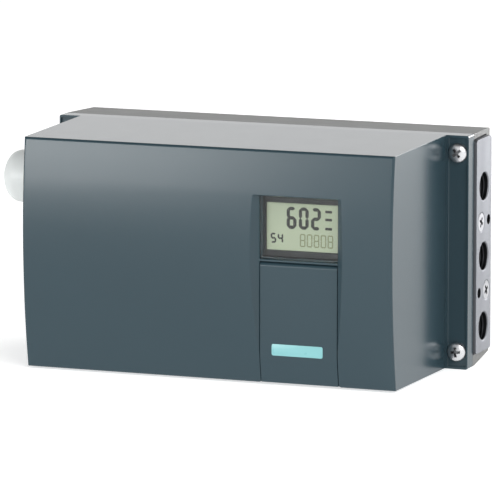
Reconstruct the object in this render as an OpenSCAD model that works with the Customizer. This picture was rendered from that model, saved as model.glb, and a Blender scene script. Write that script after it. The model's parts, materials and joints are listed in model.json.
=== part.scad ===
// Electropneumatic valve positioner with a moulded case, a port plate and a feedback shaft.
// Millimetres. The origin is on the feedback shaft's axis, at the rear mounting face.
// +X is to the right seen from the front, +Y points out of the rear face, +Z is up.

/* [Case] */
// Height of the case over the flange
case_h = 96.4; // [92:0.2:102]
// Width of the front cover where it meets its flange
cover_w = 161; // [157:1:170]
// Width of each flange ear beside the cover
ear_w = 9.5; // [9:0.5:12]
// Depth of the front cover, flange face to the crown of its front
cover_depth = 64.2; // [63.2:0.1:69]
// Thickness of the cover's flange
flange_t = 6.8; // [6:0.1:8]
// Depth of the channel in each ear's face
ear_sink = 0.8; // [0.5:0.1:1.2]
// Wall of the front cover
cover_wall = 3; // [2.4:0.1:3.6]
// Draft of each cover side over the cover's depth
cover_draft = 0.8; // [0.4:0.1:1]
// Radius of the crowned front face
front_r = 300; // [260:10:400]
// Height of the crown's highest line above mid-height
front_apex_z = 6; // [2:1:10]
// Corner radius of the flange and the base
corner_r = 0.8; // [0.5:0.1:1.6]

/* [Base] */
// Depth of the base, rear face to the cover's seat
base_depth = 27; // [26.5:0.5:30]
// Rear wall of the base
rear_wall = 4; // [3.5:0.5:4.5]
// Taper of each side wall towards the rear
side_taper = 1.8; // [1:0.2:2]
// Taper of the top wall towards the rear
top_taper = 0.8; // [0.2:0.2:1.4]
// Taper of the bottom wall towards the rear
bottom_taper = 2.6; // [1:0.2:2.8]
// Width of the base wall beside the cover's seat
base_rim = 11; // [10.5:0.5:12]
// Distance of the feedback shaft to the left of the case's centre
shaft_left = 22; // [20:1:24]

/* [Display recess and key flap] */
// Width of the recess floor, window and flap pocket
recess_w = 33.3; // [32.5:0.1:35]
// Distance of the recess's centre from the cover's right side
recess_side = 41.4; // [40.5:0.1:44]
// Depth of the recess below the front's crown
recess_depth = 3; // [2.6:0.1:3.4]
// Height of the recess's top above mid-height
recess_top = 29.2; // [28:0.1:32]
// Height of the display window
window_h = 25.6; // [24.4:0.1:26.4]
// Thickness of the display window's pane
pane_t = 2; // [1.6:0.1:2.4]
// Thickness of the key flap and diameter of its hinge barrel
flap_t = 3.2; // [2.8:0.1:3.4]
// Diameter of the flap's hinge pin
hinge_pin_d = 1.4; // [1.2:0.1:1.6]

/* [Display and keys] */
// Distance from the display glass to each side of the recess
display_side = 1.6; // [1.45:0.05:2.6]
// Height of the display glass
display_h = 19.2; // [17:0.1:19.6]
// Diameter of a key cap
key_d = 8; // [7:0.1:8.6]
// Distance between the keys
key_pitch = 10.4; // [10.3:0.1:11]
// Travel of a key
key_travel = 1; // [0.6:0.1:1.1]

/* [Port plate] */
// Width of the port plate
plate_w = 19; // [18.4:0.1:19.4]
// Length by which the port plate is shorter than the case's height
plate_short = 7.9; // [7.4:0.1:10]
// Distance the plate stands proud of the flange
plate_proud = 1; // [0.6:0.1:2]
// Distance of the upper port below the plate's top
port_head = 20; // [18:0.5:22]
// Distance of the lower port above the plate's foot
port_foot = 10.5; // [10:0.1:12]
// Wall diameter of a quarter-inch port
port_d = 11.44; // [10.4:0.02:11.8]
// Thread depth of a port
port_depth = 10.5; // [9:0.5:11]
// Diameter of the two small threaded holes for a gauge block
gauge_hole_d = 4.2; // [3:0.1:4.4]

/* [Cable entries] */
// Diameter of a cable entry's thread
entry_d = 20; // [18:0.5:20]
// Distance between the two cable entries
entry_pitch = 37; // [36:0.5:40]
// Distance of the gland's mouth from its seat
gland_reach = 30.8; // [29.4:0.2:33]
// Cable bore of the gland's rubber insert
cable_d = 10; // [7:0.5:10.5]

/* [Rear mounts and shaft] */
// Diameter of the feedback shaft
shaft_d = 8; // [7:0.2:8.4]
// Diameter of the shaft's journal in its bush
journal_d = 10; // [9:0.2:11]
// Length of the shaft that stands out of the rear face
shaft_out = 18; // [14:1:25]
// Horizontal distance between the rear mounting threads
mount_dx = 50; // [48:1:52]
// Vertical distance between the rear mounting threads
mount_dz = 60; // [58:1:62]
// Wall diameter of a rear mounting thread
mount_d = 6.8; // [6:0.1:7.2]
// Depth of a rear mounting thread
mount_depth = 11; // [9:0.5:11.5]

/* [Feedback gearing] */
// Module of the feedback gears
gear_m = 0.8; // [0.76:0.02:0.82]
// Teeth of the drive gear on the feedback shaft
drive_teeth = 60; // [58:1:61]
// Teeth of the pinion on the potentiometer
pinion_teeth = 20; // [18:1:21]
// Face width of the drive gear
gear_face = 4; // [3:0.2:4.4]
// Diameter of the clutch wheel
clutch_d = 24; // [20:0.5:28]
// Travel of the ratio selector
selector_travel = 6; // [4:0.5:6.5]

/* [Fasteners] */
// Head diameter of a cover screw
screw_head_d = 8; // [7:0.1:8.4]
// Thread diameter of a cover screw
screw_d = 4; // [3.5:0.1:4.2]
// Distance of a cover screw from the flange's top or bottom edge
screw_inset = 7.2; // [6.6:0.1:7.4]

/* [Hidden] */
$fn = 64;
fine = 250;          // facets of the large front arc
slip = 0.05;         // radial clearance of a turning fit
seat = 0.02;         // radial clearance of a fixed fit
gap = 0.3;           // clearance between a moving piece and its neighbour
eps = 0.5;           // overlap that joins or cuts features cleanly

// Planes along the depth, from the rear face forwards
y_wall = -rear_wall;
y_split = -base_depth;
y_flange = y_split - flange_t;
y_ear = y_flange + ear_sink;
y_front = y_flange - cover_depth;
y_recess = y_front + recess_depth;

// Half sizes of the case
half_w = cover_w / 2 + ear_w;
half_h = case_h / 2;
base_cavity_w = half_w - base_rim;
base_cavity_h = half_h - 4.7;
screw_x = cover_w / 2 + ear_w / 2;
screw_z = half_h - screw_inset;
insert_d = screw_d + 1.5;
insert_len = 5.2;
insert_boss_d = insert_d + 1.5;

// Seal between the base and the cover
seal_w = 1.6;
seal_depth = 2;
seal_half_w = base_cavity_w + 0.4;
seal_half_h = half_h - 2.7;

// Display recess, window and flap
recess_x = cover_w / 2 - recess_side;
window_top = recess_top - 0.4;
window_bottom = window_top - window_h;
window_z = (window_top + window_bottom) / 2;
pane_ledge = 0.6;
pane_y = y_recess + 0.3;
floor_y = y_recess + flap_t + gap;
floor_t = 3;
backing_y = floor_y + floor_t;
backing_margin = 5;
strip_h = 1;
flap_gap = 0.2;
flap_w = recess_w - 2 * flap_gap;
hinge_r = flap_t / 2;
hinge_y = y_recess + hinge_r;
hinge_z = window_bottom - strip_h - gap - hinge_r;
hinge_pin_reach = 3;
flap_bottom = -cover_half_h(y_front) + 0.2;
key_pocket_depth = 1;

// Electronics module, from its front plate back to the board
module_gap = 0.5;
module_front_y = backing_y + module_gap;
module_plate_t = 1.8;
module_wall = 1.8;
module_half_h = half_h - cover_wall - 3.2;
module_left = recess_x - 42;
module_right = recess_x + 19;
key_z = hinge_z - 12.3;
key_top_y = floor_y - key_pocket_depth + 0.2;
key_rim_d = key_d + 1.8;
key_rim_y = module_front_y + module_plate_t + 0.2;
key_rim_t = 1;
key_stem_y = key_rim_y + key_rim_t + 2;
board_t = 1.6;
board_y = key_stem_y + key_travel + 2;
module_depth = board_y + board_t - module_front_y;
board_inset = 0.2;
display_w = recess_w - 2 * display_side;
display_y = pane_y + pane_t + 2.2;
display_z = window_z + 0.2;
display_t = 1.5;
display_margin = 0.25;

// Port plate and the bar behind it
plate_t = 3;
plate_x = half_w + plate_proud;
plate_gasket_t = 0.8;
plate_y0 = y_split + 1;
plate_y = plate_y0 + plate_w / 2;
plate_z = 1.05;
plate_h = case_h - plate_short;
bar_margin = 2;
bar_len = 14.5;
bar_x = plate_x - bar_len;
port_pitch = (plate_h - port_head - port_foot) / 2;
port_z = plate_z + (port_foot - port_head) / 2;
bar_half_h = port_pitch + port_d / 2 + 1.8;
bar_half_w = plate_w / 2 - bar_margin;
port_neck_d = 7;
screen_d = 9;
screen_t = 0.6;
plate_screw_dy = 3.4;
gauge_hole_dy = 5.8;
gauge_hole_depth = 9;
plate_screw_len = 20;

// Pneumatic block
block_w = 17.5;
block_x = bar_x - block_w;
block_mid_x = block_x + block_w / 2;
block_pad = 3;
block_y0 = y_wall - block_pad;
block_front_y = y_ear - 25;
block_top = plate_z + plate_h / 2 - 3.2;
block_bottom = plate_z - plate_h / 2 + 2.2;
block_screw_dx = block_w / 2 - 3.4;
adjuster_d = 5.6;
adjuster_z = block_top - 43.1;
adjuster_pitch = 26;
selector_knob_d = 10;
pilot_h = 30;
pilot_t = 12;

// Cable entries
entry_y = -14.5;
entry_pad_d = 25.5;
entry_pad_x = -(half_w + 0.4);
entry_seal_t = 1.6;
gland_hex = 24;
gland_hex_t = 6;
gland_thread_len = 10;

// Feedback shaft and gears, in the shaft's own frame
bush_d = journal_d + 4;
bush_y0 = -16;
shaft_boss_d = bush_d + 6;
shaft_seal_d = bush_d + 2;
shaft_seal_t = 3.4;
hub_d = bush_d;
hub_y = bush_y0 - gap;
hub_t = 2.7;
gear_y = hub_y - hub_t;
spring_t = 1.5;
clutch_y = gear_y - gear_face - spring_t;
clutch_t = 11;
ring_t = 1;
shaft_end_y = clutch_y - clutch_t - ring_t - 2;
gear_centres = gear_m * (drive_teeth + pinion_teeth) / 2;
backlash = 0.16;
pot_d = 22;
pot_pad = 1;
pot_t = 10;
pot_shaft_d = 4;
pinion_face = gear_face + 0.4;
bridge_t = 2;
bridge_y = gear_y - gear_face - 2.4;
bridge_post_d = 6;
bridge_post_x = gear_centres + 9;
bridge_post_z = 12;
bridge_half_h = 20;
selector_w = 10;
selector_neck = 3;
selector_z = 9;

// Rear mounting threads
mount_insert_d = mount_d + 4.2;
mount_boss_d = mount_insert_d + 5;

// Circuit boards
pillar_d = 9;
board_hole_d = 2.6;
board_screw_head_d = 5;
board_left = module_left + module_wall + board_inset;
board_right = module_right - module_wall - board_inset;
board_half_h = module_half_h - module_wall - board_inset;
board_hole_dx = 3.6;
board_hole_z = board_half_h - 3.4;
term_left = -cover_w / 2 + 4.5;
term_right = term_left + 28;
term_half_h = half_h - 6.2;
term_y = y_ear - 12;
term_pillar_d = 7;
term_hole_inset = 4;
term_poles = 6;
term_pitch = 5;
term_block_w = 18;
term_block_x = term_left + 6;
term_block_gap = 0.5;
term_block_len = term_poles * term_pitch;
term_block_z = term_half_h - term_hole_inset - board_screw_head_d / 2 - term_block_gap - term_block_len / 2;
term_block_t = 16;

// Colours of the materials
c_case = [0.29, 0.35, 0.38];
c_base = [0.25, 0.28, 0.29];
c_dark = [0.10, 0.11, 0.12];
c_alu = [0.75, 0.75, 0.77];
c_steel = [0.80, 0.80, 0.82];
c_brass = [0.78, 0.62, 0.33];
c_rubber = [0.07, 0.07, 0.08];
c_pale = [0.86, 0.87, 0.87];
c_yellow = [0.95, 0.76, 0.10];
c_board = [0.10, 0.33, 0.20];
c_green = [0.25, 0.50, 0.32];
c_glass = [0.85, 0.90, 0.92, 0.35];
c_display = [0.68, 0.72, 0.58];

// Half width and half height of the cover at a depth, with its draft
function cover_half_w(y) = cover_w / 2 - cover_draft * (y_flange - y) / cover_depth;
function cover_half_h(y) = half_h - cover_draft * (y_flange - y) / cover_depth;

// Points of a rectangle with round corners, centred
function round_rect(w, h, r, n = 6) = [
  for (c = [[1, 1, 0], [-1, 1, 90], [-1, -1, 180], [1, -1, 270]])
    for (i = [0:n])
      [c[0] * (w / 2 - r) + r * cos(c[2] + 90 * i / n), c[1] * (h / 2 - r) + r * sin(c[2] + 90 * i / n)]
];

// Involute gear outline: the angle of a flank at a radius, then the tooth's points
function inv_deg(a) = tan(a) * 180 / PI - a;
function flank_angle(teeth, r, play) =
  let (rp = gear_m * teeth / 2, rb = rp * cos(20), rr = max(r, rb))
    90 / teeth - play / (2 * rp) * 180 / PI + inv_deg(20) - inv_deg(acos(rb / rr));
function gear_points(teeth, play, steps = 3) =
  let (rp = gear_m * teeth / 2, root = rp - 1.25 * gear_m, tip = rp + gear_m)
    [
      for (t = [0:teeth - 1])
        for (side = [-1, 1])
          for (i = [0:steps])
            let (
              r = side < 0 ? root + (tip - root) * i / steps : tip - (tip - root) * i / steps,
              a = t * 360 / teeth + side * flank_angle(teeth, r, play)
            )
              [r * cos(a), r * sin(a)]
    ];

// Outline of a fluted hand wheel
function fluted_points(d, flutes, depth) = [
  for (i = [0:flutes * 6 - 1])
    let (a = i * 60 / flutes, r = d / 2 - depth / 2 + depth / 2 * cos(flutes * a))
      [r * cos(a), r * sin(a)]
];

// A box between two corners
module box(low, high) translate(low) cube(high - low);

// A cylinder along Y between two depths, at a point of the XZ plane
module y_cyl(d, y0, y1, at = [0, 0])
  translate([at[0], y0, at[1]]) rotate([-90, 0, 0]) cylinder(d = d, h = y1 - y0);

// A cylinder along X between two ends, at a point of the YZ plane
module x_cyl(d, x0, x1, at = [0, 0])
  translate([x0, at[0], at[1]]) rotate([0, 90, 0]) cylinder(d = d, h = x1 - x0);

// A ring along Y, and one along X
module y_ring(d, bore, y0, y1, at = [0, 0])
  difference() {
    y_cyl(d, y0, y1, at);
    y_cyl(bore, y0 - eps, y1 + eps, at);
  }
module x_ring(d, bore, x0, x1, at = [0, 0])
  difference() {
    x_cyl(d, x0, x1, at);
    x_cyl(bore, x0 - eps, x1 + eps, at);
  }

// An outline in the XZ plane drawn out along Y, and one in the YZ plane drawn out along X
module y_prism(y0, y1) translate([0, y1, 0]) rotate([90, 0, 0]) linear_extrude(y1 - y0) children();
module x_prism(x0, x1) translate([x0, 0, 0]) rotate([90, 0, 90]) linear_extrude(x1 - x0) children();

// Places a shape drawn from the case's centre, or from the middle of the display recess
module in_case() translate([shaft_left, 0, 0]) children();
module in_recess() in_case() translate([recess_x, 0, 0]) children();

// A child at each of the four cover screws
module at_cover_screws()
  for (sx = [-1, 1])
    for (sz = [-1, 1])
      translate([sx * screw_x, 0, sz * screw_z]) children();

// A child at each rear mounting thread
module at_mounts()
  for (sx = [-1, 1])
    for (sz = [-1, 1])
      translate([sx * mount_dx / 2, 0, sz * mount_dz / 2]) children();

// A child at each fixing of the main board, and at each fixing of the terminal board
module at_main_board()
  for (x = [board_left + board_hole_dx, board_right - board_hole_dx])
    for (sz = [-1, 1])
      translate([x, 0, sz * board_hole_z]) children();
module at_terminal_board()
  for (x = [term_left + term_hole_inset, term_right - term_hole_inset])
    for (sz = [-1, 1])
      translate([x, 0, sz * (term_half_h - term_hole_inset)]) children();

// A child at each fixing of the pneumatic block
module at_block_screws()
  for (sx = [-1, 1])
    for (z = [block_bottom + 3.4, block_top - 3.4])
      translate([block_mid_x + sx * block_screw_dx, 0, z]) children();

// A child at each port, and at each fixing screw and gauge hole of the plate
module at_ports()
  for (i = [-1:1])
    translate([0, plate_y, port_z + i * port_pitch]) children();
module at_plate_screws()
  for (s = [-1, 1])
    translate([0, plate_y - s * plate_screw_dy, port_z + s * port_pitch / 2]) children();
module at_gauge_holes()
  for (s = [-1, 1])
    translate([0, plate_y + s * gauge_hole_dy, port_z + s * port_pitch / 2]) children();

// Pan head with a cross recess, along Y, its seat at y = 0 and its shank towards +Y
module pan_screw_y(head_d, d, length) {
  head_t = head_d * 0.33;
  crown_r = head_d * 0.62;
  difference() {
    union() {
      intersection() {
        y_cyl(head_d, -head_t, 0);
        translate([0, crown_r - head_t, 0]) sphere(r = crown_r, $fn = fine);
      }
      y_cyl(d, -eps, length);
    }
    for (turn = [0, 90])
      rotate([0, turn, 0])
        box(
          [-head_d * 0.27, -head_t - eps, -head_d * 0.065],
          [head_d * 0.27, -head_t * 0.45, head_d * 0.065]
        );
  }
}

// Countersunk head with a cross recess, along X, its face at x = 0 and its shank towards -X
module flat_screw_x(head_d, d, length) {
  difference() {
    rotate([0, -90, 0]) {
      cylinder(d1 = head_d, d2 = d, h = (head_d - d) / 2);
      cylinder(d = d, h = length);
    }
    for (turn = [0, 90])
      rotate([turn, 0, 0])
        box(
          [-head_d * 0.2, -head_d * 0.27, -head_d * 0.065],
          [eps, head_d * 0.27, head_d * 0.065]
        );
  }
}

// The cover's outer form, or its inner one when inset by a wall
module cover_envelope(inset, y_back) {
  y_tip = y_front - 1;
  intersection() {
    translate([0, 0, -case_h]) linear_extrude(2 * case_h)
      polygon([
        [-cover_half_w(y_back) + inset, y_back], [cover_half_w(y_back) - inset, y_back],
        [cover_half_w(y_tip) - inset, y_tip], [-cover_half_w(y_tip) + inset, y_tip]
      ]);
    x_prism(-cover_w, cover_w)
      polygon([
        [y_back, -cover_half_h(y_back) + inset], [y_back, cover_half_h(y_back) - inset],
        [y_tip, cover_half_h(y_tip) - inset], [y_tip, -cover_half_h(y_tip) + inset]
      ]);
    front_arc(front_r - inset);
  }
}

// The large cylinder that crowns the front face
module front_arc(r)
  translate([0, y_front + front_r, front_apex_z]) rotate([0, 90, 0])
    cylinder(r = r, h = 2 * cover_w, center = true, $fn = fine);

// Closed loop of the case seal, with some play
module seal_loop(y0, y1, play)
  difference() {
    y_prism(y0, y1)
      polygon(round_rect(2 * (seal_half_w + seal_w + play), 2 * (seal_half_h + seal_w + play), 4));
    y_prism(y0 - eps, y1 + eps)
      polygon(round_rect(2 * (seal_half_w - play), 2 * (seal_half_h - play), 2.4));
  }

// The cover's shell, with a thick floor behind the display recess
module cover_shell()
  union() {
    difference() {
      union() {
        cover_envelope(0, y_flange + eps);
        y_prism(y_flange, y_split) polygon(round_rect(2 * half_w, case_h, corner_r));
      }
      cover_envelope(cover_wall, y_split + 1);
    }
    intersection() {
      translate([recess_x, 0, 0])
        box(
          [-recess_w / 2 - backing_margin, y_front - 1, -half_h],
          [recess_w / 2 + backing_margin, backing_y, recess_top + cover_wall]
        );
      cover_envelope(cover_wall / 2, y_flange);
    }
  }

// Recess with bevelled sides, window seat, flap pocket, hinge holes and key holes
module recess_cuts() {
  bevel = recess_depth + 3;
  low = -case_h;
  translate([recess_x, 0, 0]) {
    translate([0, 0, low]) linear_extrude(recess_top - low)
      polygon([
        [-recess_w / 2, y_recess], [recess_w / 2, y_recess],
        [recess_w / 2 + bevel, y_recess - bevel], [-recess_w / 2 - bevel, y_recess - bevel]
      ]);
    box([-recess_w / 2, y_recess - eps, window_bottom], [recess_w / 2, pane_y + pane_t, window_top]);
    box(
      [-recess_w / 2 + pane_ledge, y_recess, window_bottom + pane_ledge],
      [recess_w / 2 - pane_ledge, backing_y + eps, window_top - pane_ledge]
    );
    box([-recess_w / 2, y_recess - eps, low], [recess_w / 2, floor_y, window_bottom - strip_h]);
    x_cyl(
      hinge_pin_d + 2 * seat,
      -recess_w / 2 - hinge_pin_reach, recess_w / 2 + hinge_pin_reach,
      [hinge_y, hinge_z]
    );
    for (i = [-1:1])
      y_cyl(key_d + 1, floor_y - eps, backing_y + eps, [i * key_pitch, key_z]);
  }
}

module front_cover()
  color(c_case) in_case() {
    channel_w = screw_head_d + 0.2;
    channel_h = case_h - 2;
    difference() {
      cover_shell();
      recess_cuts();
      seal_loop(y_split - seal_depth, y_split + eps, 0.1);
      at_cover_screws() y_cyl(screw_d + 0.6, y_flange - eps, y_split + eps);
      for (s = [-1, 1])
        translate([s * screw_x, 0, 0])
          y_prism(y_flange - eps, y_ear) polygon(round_rect(channel_w, channel_h, 0.6));
    }
  }

module display_window()
  color(c_glass) in_recess()
    box(
      [-recess_w / 2 + 0.1, pane_y, window_bottom + 0.1],
      [recess_w / 2 - 0.1, pane_y + pane_t, window_top - 0.1]
    );

module housing_gasket() color(c_rubber) in_case() seal_loop(y_split - seal_depth, y_split, 0);

module cover_screws()
  color(c_steel) in_case() at_cover_screws() translate([0, y_ear, 0])
    pan_screw_y(screw_head_d, screw_d, y_split - y_ear + insert_len - 0.7);

module hinge_pin()
  color(c_steel) in_recess()
    x_cyl(
      hinge_pin_d,
      -recess_w / 2 - hinge_pin_reach + 0.1, recess_w / 2 + hinge_pin_reach - 0.1,
      [hinge_y, hinge_z]
    );

// Flap over the keys: flat above, following the crowned front near its foot
module key_flap()
  color(c_case) in_case() {
    pocket_half_w = key_pitch + key_d / 2 + 1.2;
    pocket_half_h = key_d / 2 + 1.2;
    difference() {
      union() {
        intersection() {
          translate([recess_x, 0, 0])
            box([-flap_w / 2, y_recess, flap_bottom], [flap_w / 2, y_recess + flap_t, hinge_z]);
          front_arc(front_r);
        }
        translate([recess_x, 0, 0]) x_cyl(flap_t, -flap_w / 2, flap_w / 2, [hinge_y, hinge_z]);
      }
      translate([recess_x, 0, 0]) {
        x_cyl(hinge_pin_d + 2 * slip, -recess_w, recess_w, [hinge_y, hinge_z]);
        translate([0, 0, key_z])
          y_prism(y_recess + flap_t - key_pocket_depth, y_recess + flap_t + eps)
            polygon(round_rect(2 * pocket_half_w, 2 * pocket_half_h, 2));
      }
    }
  }

// A push key: cap, retaining rim and stem
module key_at(index)
  color(c_dark) in_recess() translate([index * key_pitch, 0, key_z]) {
    y_cyl(key_d, key_top_y, key_rim_y + eps);
    y_cyl(key_rim_d, key_rim_y, key_rim_y + key_rim_t);
    y_cyl(3, key_rim_y + key_rim_t - eps, key_stem_y);
  }
module mode_key() key_at(-1);
module down_key() key_at(0);
module up_key() key_at(1);

// Outer form of the base, tapering towards the rear
module base_envelope() {
  chamfer = 1.2;
  intersection() {
    translate([0, 0, -case_h]) linear_extrude(2 * case_h)
      polygon([
        [-half_w, y_split], [half_w, y_split],
        [half_w - side_taper, -chamfer], [half_w - side_taper - chamfer, 0],
        [-half_w + side_taper + chamfer, 0], [-half_w + side_taper, -chamfer]
      ]);
    x_prism(-case_h * 2, case_h * 2)
      polygon([
        [y_split, -half_h], [y_split, half_h],
        [-chamfer, half_h - top_taper], [0, half_h - top_taper - chamfer],
        [0, -half_h + bottom_taper + chamfer], [-chamfer, -half_h + bottom_taper]
      ]);
    y_prism(y_split - eps, eps) polygon(round_rect(2 * half_w, case_h, corner_r));
  }
}

// Pads of the two cable entries on the left wall
module at_entries()
  for (s = [-1, 1])
    translate([0, entry_y, s * entry_pitch / 2]) children();

// Bosses and pillars that stand on the rear wall inside the base
module base_bosses() {
  foot = y_wall + eps;
  y_cyl(shaft_boss_d, bush_y0, foot, [-shaft_left, 0]);
  translate([-shaft_left, 0, 0]) at_mounts() y_cyl(mount_boss_d, -mount_depth - 2, foot);
  y_cyl(pot_d - 2, y_wall - pot_pad, foot, [gear_centres - shaft_left, 0]);
  at_block_screws() y_cyl(6.4, block_y0, foot);
  at_terminal_board() y_cyl(term_pillar_d, term_y + board_t, foot);
  at_main_board() y_cyl(pillar_d, y_split, foot);
}

// Bores through the base for inserts, bush, seal, silencer, screws and cable entries
module base_bores() {
  silencer = [block_mid_x, port_z - port_pitch / 2];
  at_cover_screws() y_cyl(insert_d + 2 * seat, y_split - eps, y_split + insert_len);
  translate([-shaft_left, 0, 0]) at_mounts() y_cyl(mount_insert_d + 2 * seat, -mount_depth, eps);
  y_cyl(bush_d + 2 * seat, bush_y0 - eps, eps, [-shaft_left, 0]);
  y_cyl(shaft_seal_d + 2 * seat, -shaft_seal_t, eps, [-shaft_left, 0]);
  y_cyl(14 + 2 * seat, -3, eps, silencer);
  y_cyl(9, y_wall - 1, eps, silencer);
  at_block_screws() y_cyl(3.6, block_y0 - eps, -1.5);
  at_terminal_board() y_cyl(board_hole_d, term_y, term_y + 9);
  at_main_board() y_cyl(board_hole_d + 0.6, y_split - eps, y_split + 8);
  for (s = [-1, 1])
    y_cyl(board_hole_d, y_wall - eps, -1, [bridge_post_x - shaft_left, s * bridge_post_z]);
  at_entries() x_cyl(entry_d, entry_pad_x - eps, -base_cavity_w + eps);
}

module base_housing()
  color(c_base) in_case() {
    pocket_x = plate_x - plate_t - plate_gasket_t;
    difference() {
      union() {
        difference() {
          base_envelope();
          y_prism(y_split - eps, y_wall) polygon(round_rect(2 * base_cavity_w, 2 * base_cavity_h, 3));
        }
        intersection() {
          at_entries() x_cyl(entry_pad_d, entry_pad_x, -base_cavity_w - 1);
          box([-2 * half_w, y_split, -half_h], [0, 0, half_h]);
        }
        base_bosses();
      }
      base_bores();
      box(
        [pocket_x, y_split - eps, plate_z - plate_h / 2 - 0.2],
        [plate_x + eps, plate_y0 + plate_w + 0.2, plate_z + plate_h / 2 + 0.2]
      );
      difference() {
        box(
          [base_cavity_w - eps, plate_y - bar_half_w - 0.2, port_z - bar_half_h - 0.2],
          [pocket_x + eps, plate_y + bar_half_w + 0.2, port_z + bar_half_h + 0.2]
        );
        at_cover_screws() y_cyl(insert_boss_d, y_split, y_split + insert_len + 0.3);
      }
    }
  }

module rear_inserts() color(c_brass) at_mounts() y_ring(mount_insert_d, mount_d, -mount_depth, 0);

module cover_inserts()
  color(c_brass) in_case() at_cover_screws()
    y_ring(insert_d, screw_d + 0.3, y_split, y_split + insert_len);

module shaft_bush() color(c_brass) y_ring(bush_d, journal_d + 2 * slip, bush_y0, -shaft_seal_t);

module shaft_seal() color(c_rubber) y_ring(shaft_seal_d, journal_d + 2 * slip, -shaft_seal_t, -0.2);

module exhaust_silencer()
  color(c_brass) in_case() y_cyl(14, -3, -0.3, [block_mid_x, port_z - port_pitch / 2]);

// Aluminium plate with three ports, and the bar behind it that holds their threads
module port_plate()
  color(c_alu) in_case() {
    mouth = 0.4;
    sink_t = (screw_head_d - screw_d) / 2;
    difference() {
      union() {
        translate([plate_x - plate_t, plate_y, plate_z]) rotate([90, 0, 90])
          linear_extrude(plate_t) polygon(round_rect(plate_w, plate_h, 1.5));
        difference() {
          box(
            [bar_x, plate_y - bar_half_w, port_z - bar_half_h],
            [plate_x - plate_t + eps, plate_y + bar_half_w, port_z + bar_half_h]
          );
          intersection() {
            at_cover_screws() y_cyl(insert_boss_d + 0.4, y_split - eps, y_split + insert_len + 0.5);
            box([0, y_split - 1, -case_h], [plate_x - plate_t, 0, case_h]);
          }
        }
      }
      at_ports() {
        x_cyl(port_d, plate_x - port_depth, plate_x + eps);
        x_cyl(screen_d, plate_x - port_depth - 0.8, plate_x);
        x_cyl(port_neck_d, bar_x - eps, plate_x);
        translate([plate_x - mouth, 0, 0]) rotate([0, 90, 0])
          cylinder(d1 = port_d, d2 = port_d + 2 * mouth + 0.2, h = mouth + 0.1);
      }
      at_plate_screws() {
        x_cyl(screw_d + 0.4, bar_x - eps, plate_x + eps);
        translate([plate_x - sink_t, 0, 0]) rotate([0, 90, 0])
          cylinder(d1 = screw_d + 0.4, d2 = screw_head_d + 0.6, h = sink_t + 0.1);
      }
      at_gauge_holes() x_cyl(gauge_hole_d, plate_x - gauge_hole_depth, plate_x + eps);
    }
  }

module port_plate_gasket()
  color(c_rubber) in_case() {
    back = plate_x - plate_t - plate_gasket_t;
    difference() {
      translate([back, plate_y, plate_z]) rotate([90, 0, 90])
        linear_extrude(plate_gasket_t)
          difference() {
            polygon(round_rect(plate_w, plate_h, 1.5));
            translate([0, port_z - plate_z])
              square([2 * bar_half_w + 0.2, 2 * bar_half_h + 0.2], center = true);
          }
      at_cover_screws() y_cyl(insert_boss_d + 0.4, y_split - eps, y_split + insert_len + 0.5);
    }
  }

module port_plate_screws()
  color(c_steel) in_case() at_plate_screws() translate([plate_x, 0, 0])
    flat_screw_x(screw_head_d, screw_d, plate_screw_len);

module port_screens()
  color(c_steel) in_case() at_ports()
    x_cyl(screen_d - 0.1, plate_x - port_depth - 0.8, plate_x - port_depth - 0.8 + screen_t);

// Valve block between the ports and the pilot valve, with its adjusters on the front
module pneumatic_block()
  color(c_alu) in_case() {
    difference() {
      box([block_x, block_front_y, block_bottom], [bar_x, block_y0, block_top]);
      at_ports() x_cyl(port_neck_d, bar_x - 11, bar_x + eps);
      at_plate_screws() x_cyl(screw_d + 0.1, plate_x - plate_screw_len - 1, bar_x + eps);
      at_block_screws() y_cyl(4.4, block_front_y - eps, block_y0 + eps);
      for (i = [0, 1])
        y_cyl(
          adjuster_d + 2 * slip, block_front_y - eps, block_front_y + 9,
          [block_mid_x, adjuster_z - i * adjuster_pitch]
        );
      y_cyl(
        selector_knob_d + 2 * slip, block_front_y - eps, block_front_y + 4,
        [block_mid_x, adjuster_z - adjuster_pitch / 2]
      );
    }
  }

module pneumatic_block_screws()
  color(c_steel) in_case() at_block_screws() translate([0, block_front_y, 0])
    pan_screw_y(6, 3.5, -block_front_y - 2);

// Pilot valve on the block's front, with its plug connector
module pilot_valve()
  color(c_dark) in_case() translate([block_mid_x, block_front_y, block_top - 8 - pilot_h / 2]) {
    half = block_w / 2 - 1.2;
    difference() {
      union() {
        y_prism(-pilot_t, 0) polygon(round_rect(2 * half, pilot_h, 1.5));
        box([-half + 2, -pilot_t - 4, -pilot_h / 2 + 9], [half - 2, -pilot_t + eps, pilot_h / 2 - 9]);
      }
      for (s = [-1, 1])
        y_cyl(3.2, -pilot_t - eps, eps, [0, s * (pilot_h / 2 - 4)]);
      box([-half + 3.2, -pilot_t - 5, -pilot_h / 2 + 10.2], [half - 3.2, -pilot_t - 1, pilot_h / 2 - 10.2]);
    }
  }

module pilot_valve_screws()
  color(c_steel) in_case() translate([block_mid_x, block_front_y, block_top - 8 - pilot_h / 2])
    for (s = [-1, 1])
      translate([0, -pilot_t, s * (pilot_h / 2 - 4)]) pan_screw_y(5.5, 3, pilot_t - 0.5);

// Slotted adjuster that throttles one output
module restrictor_at(index)
  color(c_brass) in_case() translate([block_mid_x, block_front_y, adjuster_z - index * adjuster_pitch])
    difference() {
      y_cyl(adjuster_d, -2.5, 8.7);
      box([-adjuster_d, -3, -0.5], [adjuster_d, -1.3, 0.5]);
    }
module restrictor_upper() restrictor_at(0);
module restrictor_lower() restrictor_at(1);

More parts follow.
